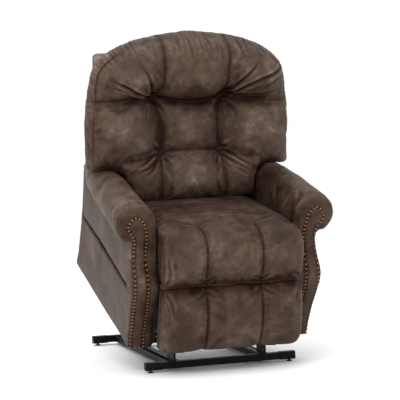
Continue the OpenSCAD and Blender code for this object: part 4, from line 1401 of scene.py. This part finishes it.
def arm_face(s):
    side = "right" if s > 0 else "left"
    cx, cz, r = 341, 494, 77.0
    arc = [(cx + r * math.cos(t), cz + r * math.sin(t)) for t in np.linspace(-1.02, math.pi, 56)]
    out = [(256.5, 4), (256.5, 90), (258.2, 125), (258.2, 220), (258.2, 300), (258.2, 345), (257, 380), (258, 430), (262.5, 470)]
    right = [(349, 2), (352, 50), (357, 150), (364, 262), (364, 292), (357, 350), (354, 395), (357, 418), (366, 428)]
    poly = np.array([(263, 1), (346, 1)] + right + arc + list(reversed(out)), float)
    O = spline(poly, 4.5, closed=True)
    path = spline(NAIL_PATH, 5)

    def face(V):
        y = face_s(V[:, 1])
        d, sarc, tot = seg_dist(V, path)
        # inside the nail line the strip is padded
        x, z = V.T
        lo = np.interp(z, [12, 110, 200, 272, 350, 428, 462, 494, 516, 526], [295, 296, 299, 301, 303, 300, 303, 310, 322, 341])
        hi = np.interp(z, [12, 150, 282, 390, 424, 446, 468, 484, 500, 518, 526], [343, 346, 350, 346, 344, 348, 364, 373, 371, 358, 341])
        inside = (x > lo) & (x < hi) & (z < 526) & (z > 10)
        y = y - np.where(inside, 4.2 * smooth01(d / 16), 0)
        y = y + 1.8 * np.exp(-((d / 6.5) ** 2))
        return y

    def edge(V):
        k = smooth01((V[:, 1] - 428) / 20)
        return (face_s(V[:, 1]) + 14) * (1 - k) + 16.0 * k

    def radius(V):
        z, x = V[:, 1], V[:, 0]
        inner = smooth01((292 - x) / 14) * smooth01((440 - z) / 20)
        return np.where(z > 436, 24.0, 15.0) * (1 - inner) + 7.0 * inner

    ob = pillow("arm_face_" + side, O, 6.0, face, edge, lambda V: np.full(len(V), 20.0), radius, "xz", rear_r=0.5)
    remesh(ob, 4.0)
    me = ob.data
    set_co(me, relax(get_co(me), get_edges(me), 3, 0.5))
    subdivide(ob, 1)

    def fn(co, no):
        x, y, z = co.T
        P = co[:, [0, 2]]
        fr = smooth01((-no[:, 1] - 0.15) / 0.4)
        d, sarc, tot = seg_dist(P, path)
        de, se, te = seg_dist(P, O, True)
        v = -1.6 * np.exp(-((d / 4.2) ** 2)) * fr
        # gathers between the round edge and the nails
        th = np.arctan2(z - 494, x - 341)
        s_ = th * 78 + 400
        ph, idx, n, rng = pleats(s_, 78 * 2 * math.pi, 13.5, 51 + (s > 0))
        amp = rng.uniform(0.4, 1.3, n)[idx]
        wave = (0.5 + 0.5 * np.cos(2 * np.pi * ph)) ** 1.4
        lo = np.interp(z, [428, 462, 494, 516, 526], [300, 303, 310, 322, 341])
        ring = smooth01((d - 3) / 6) * smooth01((z - 440) / 18) * (de < d + 34)
        inner = (x > 316) & (x < 360) & (z > 440) & (z < 512)
        v -= 0.75 * amp * wave * ring * np.where(inner, 0.15, 1.0)
        # small puckers at every nail
        v += 0.7 * np.cos(2 * np.pi * sarc / (tot / round(tot / 15.2))) * np.exp(-(((d - 7) / 5) ** 2)) * fr
        v += 0.9 * vnoise(co, 60, 61) * fr + 0.5 * vnoise(co, 24, 62) * fr + 0.2 * vnoise(co, 10, 63)
        # bulge folds under the padding
        for zc, dep, w in ((322, 1.6, 9), (338, 1.4, 8), (352, 1.8, 7)):
            v -= dep * np.exp(-(((z - zc + 6 * np.sin(x / 17.0)) / w) ** 2)) * fr
        return v

    push(ob, fn)
    me = ob.data
    set_co(me, relax(get_co(me), get_edges(me), 1, 0.3))

    def near(co):
        P = co[:, [0, 2]]
        d, _, _ = seg_dist(P, path)
        de, _, _ = seg_dist(P, O, True)
        return d, de

    # painted shade along the nail line, on the band round the scroll, on the lower face, by the inner edge and at the
    # bottom; painted highlight down the padded strip
    def dark(co, no):
        d, de = near(co)
        top = smooth01((co[:, 2] - 436) / 16)
        ring = top * smooth01((d - 5) / 8) * smooth01((de - 2) / 16) * 0.34
        line = 0.62 * np.exp(-((d / 6.5) ** 2))
        low = 0.16 * (1 - top)
        x = co[:, 0]
        gap_shade = 0.9 * smooth01((283 - x) / 20) * smooth01((380 - co[:, 2]) / 60) + 0.12 * smooth01((296 - x) / 16)
        # painted highlight down the padded strip
        pad = 0.30 * np.exp(-(((x - 322) / 15) ** 2 + ((co[:, 2] - 330) / 62) ** 2))
        return ring + line + low + gap_shade - pad + 0.5 * smooth01((30 - co[:, 2]) / 30)

    # darker reddish brown painted shade along the nail line, mottled, and a little elsewhere
    def red_shade(co, no):
        d, de = near(co)
        blot = 0.5 + 0.5 * vnoise(co, 40, 66)
        return (1.0 * np.exp(-((d / 11) ** 2)) + 0.06) * (0.3 + 0.7 * blot) * smooth01((de - 1) / 10)
    finish_soft(ob, 0.0, dark, red_shade)
    place(ob, mirror=s < 0)
    paint(ob, "upholstery_front")
    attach(ob, "chair")
    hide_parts(f"arm_front_{side}")


def side_x(z, y=0.0):
    """outer face of the side: bellied near the front, plainer and narrower at the rear"""
    front = np.interp(z, [0, 282, 395, 430], [350, 367, 355, 354])
    rear = np.interp(z, [0, 70, 135, 217, 264, 430], [356, 353, 349, 345, 343, 342.5])
    k = np.clip((np.asarray(y, float) - 20) / 765, 0, 1)
    return front * (1 - k) + rear * k


def side_panel(s, upper):
    side = "right" if s > 0 else "left"
    zs = lambda y: 252 - (y - 20) * (25 / 765.0)
    fy = lambda z: face_s(np.array([z]))[0] + 9
    if upper:
        pts = [(y, zs(y) + 4.4) for y in np.linspace(fy(254), 783, 40)]
        pts += [(784, 240), (784, 330), (784, 418), (778, 425.5)]
        pts += [(y, 426) for y in np.linspace(760, 20, 40)]
        pts += [(fy(426), 425), (fy(418), 418)] + [(fy(z), z) for z in (400, 380, 362, 350, 340, 325, 310, 296, 282, 275, 266)]
        name = f"side_upper_{side}"
        node = f"arm_side_{side}"
    else:
        pts = [(fy(4), 0.5)] + [(y, 0.3) for y in np.linspace(20, 778, 40)] + [(784.5, 6), (784.5, 110), (784, 214)]
        pts += [(y, zs(y) - 4.4) for y in np.linspace(783, fy(248), 40)]
        pts += [(fy(z), z) for z in (240, 225, 205, 190, 160, 130, 95, 60, 30)]
        name = f"side_lower_{side}"
        node = f"lower_side_{side}"
    O = []
    for p, q in zip(pts, pts[1:] + pts[:1]):
        n = max(1, int(math.dist(p, q) / 6))
        O += [(p[0] + (q[0] - p[0]) * i / n, p[1] + (q[1] - p[1]) * i / n) for i in range(n)]
    O = np.array(O)

    def face(V):
        d, _, _ = seg_dist(V, O, True)
        return side_x(V[:, 1], V[:, 0]) + 1.2 * smooth01(d / 90)

    ob = pillow(name, O, 8.0, face, lambda V: np.maximum(side_x(V[:, 1], V[:, 0]) - 7.5, 339.4), lambda V: np.full(len(V), 338.2), 9.0, "yz", rear_r=0.5)
    remesh(ob, 5.5)
    me = ob.data
    set_co(me, relax(get_co(me), get_edges(me), 2, 0.5))
    subdivide(ob, 1)

    def fn(co, no):
        x, y, z = co.T
        o = smooth01((no[:, 0] - 0.2) / 0.4)
        v = (1.3 * vnoise(co, 150, 71 + int(upper)) + 0.6 * vnoise(co, 60, 73) + 0.25 * vnoise(co, 22, 74)) * o
        if upper:
            # slack under the roll and towards the front
            v -= 1.6 * np.exp(-(((z - 412 + 8 * np.sin(y / 60)) / 7) ** 2)) * o
            v += 0.8 * np.sin(y / 26.0 + 1.5 * np.sin(y / 70)) * np.exp(-(((z - 395) / 22) ** 2)) * o * smooth01((300 - y) / 200)
        return v

    push(ob, fn)

    # painted shade: darker near the front edge, in the seam between the upper and lower panels, under the roll and at
    # the bottom
    def dark(co, no):
        x, y, z = co.T
        fr = np.exp(-((y - face_s(z)) / 26) ** 2)
        seam = np.exp(-(((z - zs(y)) / 9.5) ** 2))
        under = smooth01((z - 404) / 18)
        return 0.10 * fr + 2.2 * seam + 0.7 * under + 0.5 * smooth01((10 - z) / 10)
    # darker reddish brown painted shade along that seam and a little all over
    finish_soft(ob, 0.09, dark, lambda co, no: 0.13 + 0.8 * np.exp(-(((co[:, 2] - zs(co[:, 1])) / 10) ** 2)))
    place(ob, mirror=s < 0)
    paint(ob, "upholstery_arm")
    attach(ob, "chair")
    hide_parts(node)


def arm_lining(s):
    """turned-in edge of the cover behind the front of each arm, facing the footrest"""
    rings = []
    for z in np.arange(3, 280, 5.0):
        f = float(face_y(z))
        t = float(smooth01((z + 9) / 10) * smooth01((283 - z) / 12))
        d = 1.2 + 20.8 * t + 6.0 * math.exp(-(((z - 105) / 34.0) ** 2))
        ring = [(260.6, f + 13), (259.8 - 0.12 * d, f + 20), (259.8 - 0.6 * d, f + 30), (259.8 - d, f + 39), (259.8 - d, f + 52), (259.8 - 0.97 * d, f + 64), (259.8 - 0.45 * d, f + 72), (260.4, f + 76), (260.7, f + 60), (260.7, f + 42)]
        rings.append([(x, y, z) for x, y in ring])
    ob = loft("arm_lining_" + ("right" if s > 0 else "left"), np.array(rings))
    subdivide(ob, 1)
    push(ob, lambda co, no: 0.35 * vnoise(co, 26, 96) * smooth01((-no[:, 0] - 0.2) / 0.3))
    # painted shade: the lining sits in the shaded space beside the footrest, so it is painted much darker
    finish_soft(ob, -0.9)
    place(ob, mirror=s < 0)
    paint(ob, "upholstery")
    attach(ob, "chair")


def arm_rear(s):
    """cover over the rear end of the arm"""
    O = spline([(293, 5), (353, 5), (351, 70), (347, 135), (343, 217), (341.5, 264), (341, 340), (341, 408), (339, 430), (330, 441), (311, 443.5), (290, 441), (272, 429), (263.5, 408),
                (263.5, 330), (263.5, 240), (264, 176), (270, 169), (286, 167), (291, 158), (292, 90)], 5.0, closed=True)

    def face(V):
        d, _, _ = seg_dist(V, O, True)
        return 787.4 + 1.1 * smooth01(d / 24)

    ob = pillow("arm_rear_" + ("right" if s > 0 else "left"), O, 6.0, face, lambda V: np.full(len(V), 785.6), lambda V: np.full(len(V), 784.2), 2.0, "xz", rear_r=0.3)
    subdivide(ob, 1)

    def fn(co, no):
        o = smooth01((no[:, 1] - 0.2) / 0.4)
        z = co[:, 2]
        v = (0.5 * vnoise(co, 60, 97) + 0.25 * vnoise(co, 22, 98)) * o
        return v - 0.9 * np.exp(-(((z - 232) / 3.2) ** 2)) * o + 0.4 * np.exp(-(((np.abs(z - 232) - 8) / 4) ** 2)) * o

    push(ob, fn)
    # painted shade along the seam line
    finish_soft(ob, 0.0, lambda co, no: 0.5 * np.exp(-(((co[:, 2] - 232) / 4.0) ** 2)))
    place(ob, mirror=s < 0)
    paint(ob, "upholstery_arm")
    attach(ob, "chair")


for s in (1, -1):
    arm_pad(s)
    arm_face(s)
    side_panel(s, True)
    side_panel(s, False)
    arm_lining(s)
    arm_rear(s)


# ------------------------------------------------------------------ outside back
def back_panel():
    half = [(0, 250), (120, 250), (256, 250), (256, 320), (256, 440), (256, 562), (300, 566), (344, 567), (345, 640), (345, 760), (345, 850), (345, 906), (341, 916), (332, 920), (200, 921), (0, 921)]
    pts = half[:-1] + [(0, 921)] + [(-x, z) for x, z in reversed(half[1:-1])]
    O = []
    for p, q in zip(pts, pts[1:] + pts[:1]):
        n = max(1, int(math.dist(p, q) / 7))
        O += [(p[0] + (q[0] - p[0]) * i / n, p[1] + (q[1] - p[1]) * i / n) for i in range(n)]
    O = np.array(O)

    def face(V):
        d, _, _ = seg_dist(V, O, True)
        return yr(V[:, 1]) - 1.5 + 1.5 * smooth01(d / 80)

    ob = pillow("back_panel", O, 9.0, face, lambda V: yr(V[:, 1]) - 7, lambda V: yr(V[:, 1]) - 13.6, 7.0, "xz", rear_r=0.5)
    remesh(ob, 6.5)
    me = ob.data
    set_co(me, relax(get_co(me), get_edges(me), 2, 0.5))
    subdivide(ob, 1)

    def fn(co, no):
        x, y, z = co.T
        o = smooth01((no[:, 1] - 0.2) / 0.4)
        v = (1.2 * vnoise(co, 140, 81) + 0.6 * vnoise(co, 55, 82) + 0.2 * vnoise(co, 20, 83)) * o
        # two vertical seams
        for sx in (-150, 150):
            d = np.abs(x - sx)
            v -= 2.2 * np.exp(-((d / 3) ** 2)) * o
            v += 0.9 * np.exp(-(((d - 8) / 4) ** 2)) * o
        return v

    push(ob, fn)
    finish_soft(ob, 0.0)
    place(ob)
    paint(ob, "upholstery")
    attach(ob, "back")
    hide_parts("outside_back")
    # welt round the panel
    path = [(x * 0.985, yr(z) - 3.4, z - 5 if z > 900 else (z + 4 if z < 256 else z)) for x, z in O]
    w = tube("back_panel_welt", path, 3.6, 10, closed=True)
    finish_soft(w, 0.1)
    place(w)
    paint(w, "upholstery")
    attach(w, "back")


back_panel()


def back_sleeve():
    """band of cover round the frame, between the back pad and the outside back"""
    half = [(0, 916), (200, 916), (326, 915.5), (338, 911), (342.5, 900), (343, 760), (343, 640), (342.5, 582), (338, 573), (326, 571), (258, 571)]
    pts = [(-x, z) for x, z in reversed(half[1:])] + half
    P = [pts[0]]
    for p, q in zip(pts, pts[1:]):
        n = max(1, int(math.dist(p, q) / 8))
        P += [(p[0] + (q[0] - p[0]) * i / n, p[1] + (q[1] - p[1]) * i / n) for i in range(1, n + 1)]
    P = np.array(P)
    T = np.gradient(P, axis=0)
    N = np.column_stack([-T[:, 1], T[:, 0]])
    N /= np.linalg.norm(N, axis=1)[:, None]
    if N[len(N) // 2, 1] < 0:
        N = -N
    rings = []
    for (x, z), n in zip(P, N):
        out = [(o, yr(z) - 70 + 61.5 * j / 10) for j, o in enumerate(0.4 + 1.5 * math.sin(math.pi * j / 10) for j in range(11))]
        inn = [(-2.4, yr(z) - 8.5 - 61.5 * j / 4) for j in range(5)]
        rings.append([(x + n[0] * o, y, z + n[1] * o) for o, y in out + inn])
    ob = loft("back_sleeve", np.array(rings))
    subdivide(ob, 1)

    def fn(co, no):
        flat = 1 - smooth01((np.abs(no[:, 1]) - 0.4) / 0.3)
        return (0.9 * vnoise(co, 70, 86) + 0.45 * vnoise(co, 28, 87) + 0.15 * vnoise(co, 11, 88) - 0.5) * flat

    push(ob, fn)
    # painted shade: darker deeper in between the back pad and the outside back, and a little overall
    finish_soft(ob, -0.15, lambda co, no: 0.35 * smooth01((yr(co[:, 2]) - 48 - co[:, 1]) / 14))
    place(ob)
    paint(ob, "upholstery")
    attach(ob, "back")


back_sleeve()


# ------------------------------------------------------------------ nails
def nail_heads():
    src = frame["nodes"]["nailheads"].data
    co = get_co(src)
    e = get_edges(src)
    n = len(co)
    # islands by rounding positions together
    key = np.round(co, 6)
    uniq, inv = np.unique(key, axis=0, return_inverse=True)
    inv = inv.reshape(-1)
    parent = list(range(len(uniq)))
    def find(a):
        while parent[a] != a:
            parent[a] = parent[parent[a]]
            a = parent[a]
        return a
    for a, b in e:
        ra, rb = find(inv[a]), find(inv[b])
        if ra != rb:
            parent[ra] = rb
    root = np.array([find(i) for i in range(len(uniq))])
    verts, faces = [], []
    rng = np.random.default_rng(9)
    for r in np.unique(root):
        p = Ci(uniq[root == r])
        # the head's rim is at its widest; the shank is thin
        c = p.mean(0)
        rad = np.linalg.norm(p[:, [0, 2]] - np.median(p[:, [0, 2]], axis=0), axis=1)
        cx, cz = (p[:, 0].min() + p[:, 0].max()) / 2, None
        z = np.median(p[:, 2])
        zz = (p[rad > 3][:, 2].min() + p[rad > 3][:, 2].max()) / 2
        a = math.atan2(face_y(zz + 5) - face_y(zz - 5), 10)
        base = np.array([cx, face_y(zz), zz])
        nrm = np.array([0, -math.cos(a), math.sin(a)])
        nrm = nrm + rng.normal(0, 0.06, 3)
        nrm /= np.linalg.norm(nrm)
        u = np.cross(nrm, [1.0, 0, 0]); u /= np.linalg.norm(u)
        w = np.cross(nrm, u)
        k0 = len(verts)
        rows = 5
        R, H = 4.4 + rng.normal(0, 0.12), 2.9
        prof = [(R * 0.98, -1.2), (R, -0.2), (R * 0.97, 0.5), (R * 0.82, 1.55), (R * 0.58, 2.45), (R * 0.30, 2.95)]
        for rr, hh in prof:
            for j in range(14):
                t = 2 * math.pi * j / 14
                verts.append(base + nrm * hh + rr * (math.cos(t) * u + math.sin(t) * w))
        verts.append(base + nrm * H)
        for i in range(len(prof) - 1):
            for j in range(14):
                a1, b1 = k0 + i * 14 + j, k0 + i * 14 + (j + 1) % 14
                faces.append((a1, b1, b1 + 14, a1 + 14))
        top = k0 + len(prof) * 14
        for j in range(14):
            faces.append((k0 + (len(prof) - 1) * 14 + j, k0 + (len(prof) - 1) * 14 + (j + 1) % 14, top))
        faces.append(tuple(k0 + j for j in reversed(range(14))))
    ob = make("nail_heads", np.array(verts), faces)
    bm = bmesh.new()
    bm.from_mesh(ob.data)
    bmesh.ops.recalc_face_normals(bm, faces=bm.faces)
    bm.to_mesh(ob.data)
    bm.free()
    place(ob)
    paint(ob, "antique_bronze")
    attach(ob, "chair")
    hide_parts("nailheads")


nail_heads()


# ------------------------------------------------------------------ hard parts: bevelled copies of the CAD pieces
BODY = {n: b for b, ns in frame["record"]["behaviour"]["bodies"].items() for n in ns}
SLOT = {s["node"]: s["material_slot"] for s in frame["record"]["subparts"]}


def hard(node, width=1.0, segs=2, angle=35):
    src = frame["nodes"][node]
    ob = bpy.data.objects.new(node + "_finished", src.data.copy())
    scene.collection.objects.link(ob)
    me = ob.data
    bm = bmesh.new()
    bm.from_mesh(me)
    bmesh.ops.remove_doubles(bm, verts=bm.verts, dist=2e-5)
    bmesh.ops.dissolve_limit(bm, angle_limit=math.radians(1.0), verts=bm.verts, edges=bm.edges)
    bm.to_mesh(me)
    bm.free()
    b = ob.modifiers.new("bevel", "BEVEL")
    b.width = width / 1000.0
    b.segments = segs
    b.limit_method = "ANGLE"
    b.angle_limit = math.radians(angle)
    b.use_clamp_overlap = True
    b.harden_normals = False
    apply_mods(ob)
    me = ob.data
    me.polygons.foreach_set("use_smooth", np.ones(len(me.polygons), bool))
    m = ob.modifiers.new("wn", "WEIGHTED_NORMAL")
    m.keep_sharp = False
    apply_mods(ob)
    paint(ob, SLOT[node])
    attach(ob, BODY[node])
    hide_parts(node)
    return ob


BEVEL = {
    "base_front_tube": 2.6, "base_rear_tube": 2.6, "base_end_caps": 2.2, "base_rail_left": 1.6, "base_rail_right": 1.6, "base_cross_tube": 1.4,
    "lift_upright_left": 0.8, "lift_upright_right": 0.8, "lift_arm_left": 0.8, "lift_arm_right": 0.8, "stabiliser_links": 0.8,
    "chassis_plate_left": 0.6, "chassis_plate_right": 0.6, "chassis_front_tube": 1.2, "chassis_rear_tube": 1.2,
    "floor_feet": 1.0, "power_supply": 4.0, "handset": 3.5, "button_up": 1.2, "button_down": 1.2, "seat_frame_left": 0.6, "seat_frame_right": 0.6,
    "footrest_links": 0.6, "footrest_guides": 0.6, "footrest_carriers": 0.5, "footrest_tilt_rods": 0.5, "lift_motor_unit": 2.0, "recline_motor_unit": 2.0,
    "footrest_gearmotor": 2.0, "back_hinges": 0.6, "lift_rod": 0.6, "recline_rod": 0.6, "lift_torque_tube": 0.5, "footrest_shaft": 0.5,
    "base_pivot_pins": 0.6, "chassis_pivot_pins": 0.6, "arm_bolts": 0.6, "arm_frame_left": 1.0, "arm_frame_right": 1.0, "seat_rails": 1.0,
    "back_frame": 1.0, "footrest_board": 1.0,
}
for node, w in BEVEL.items():
    piece = hard(node, w)
    if node == "back_hinges":
        # running clearance round the hinge pins
        co = Ci(get_co(piece.data))
        dy, dz = co[:, 1] - 545, co[:, 2] - 250
        r = np.hypot(dy, dz)
        k = np.where((np.abs(co[:, 0]) > 205) & (np.abs(co[:, 0]) < 211.9) & (r > 4) & (r < 8.6), 0.94, 1.0)
        co[:, 1], co[:, 2] = 545 + dy * k, 250 + dz * k
        set_co(piece.data, C(co))


def hand_pocket():
    """stitched leather pocket that holds the handset on the right arm"""
    ob = hard("handset_pocket", 3.0, 3)
    paint(ob, "upholstery_arm")
    m = ob.modifiers.new("s", "SUBSURF")
    m.levels = m.render_levels = 1
    m.subdivision_type = "SIMPLE"
    apply_mods(ob)
    at = ob.data.attributes.new("light_dark_shift", "FLOAT", "POINT")


hand_pocket()

for node, ob in frame["nodes"].items():
    if not ob.hide_render:
        paint(ob, SLOT[node]) if False else None
        for i, sl in enumerate(ob.material_slots):
            sl.material = M[SLOT[node]]
        if not ob.material_slots:
            print("no slot on", node)
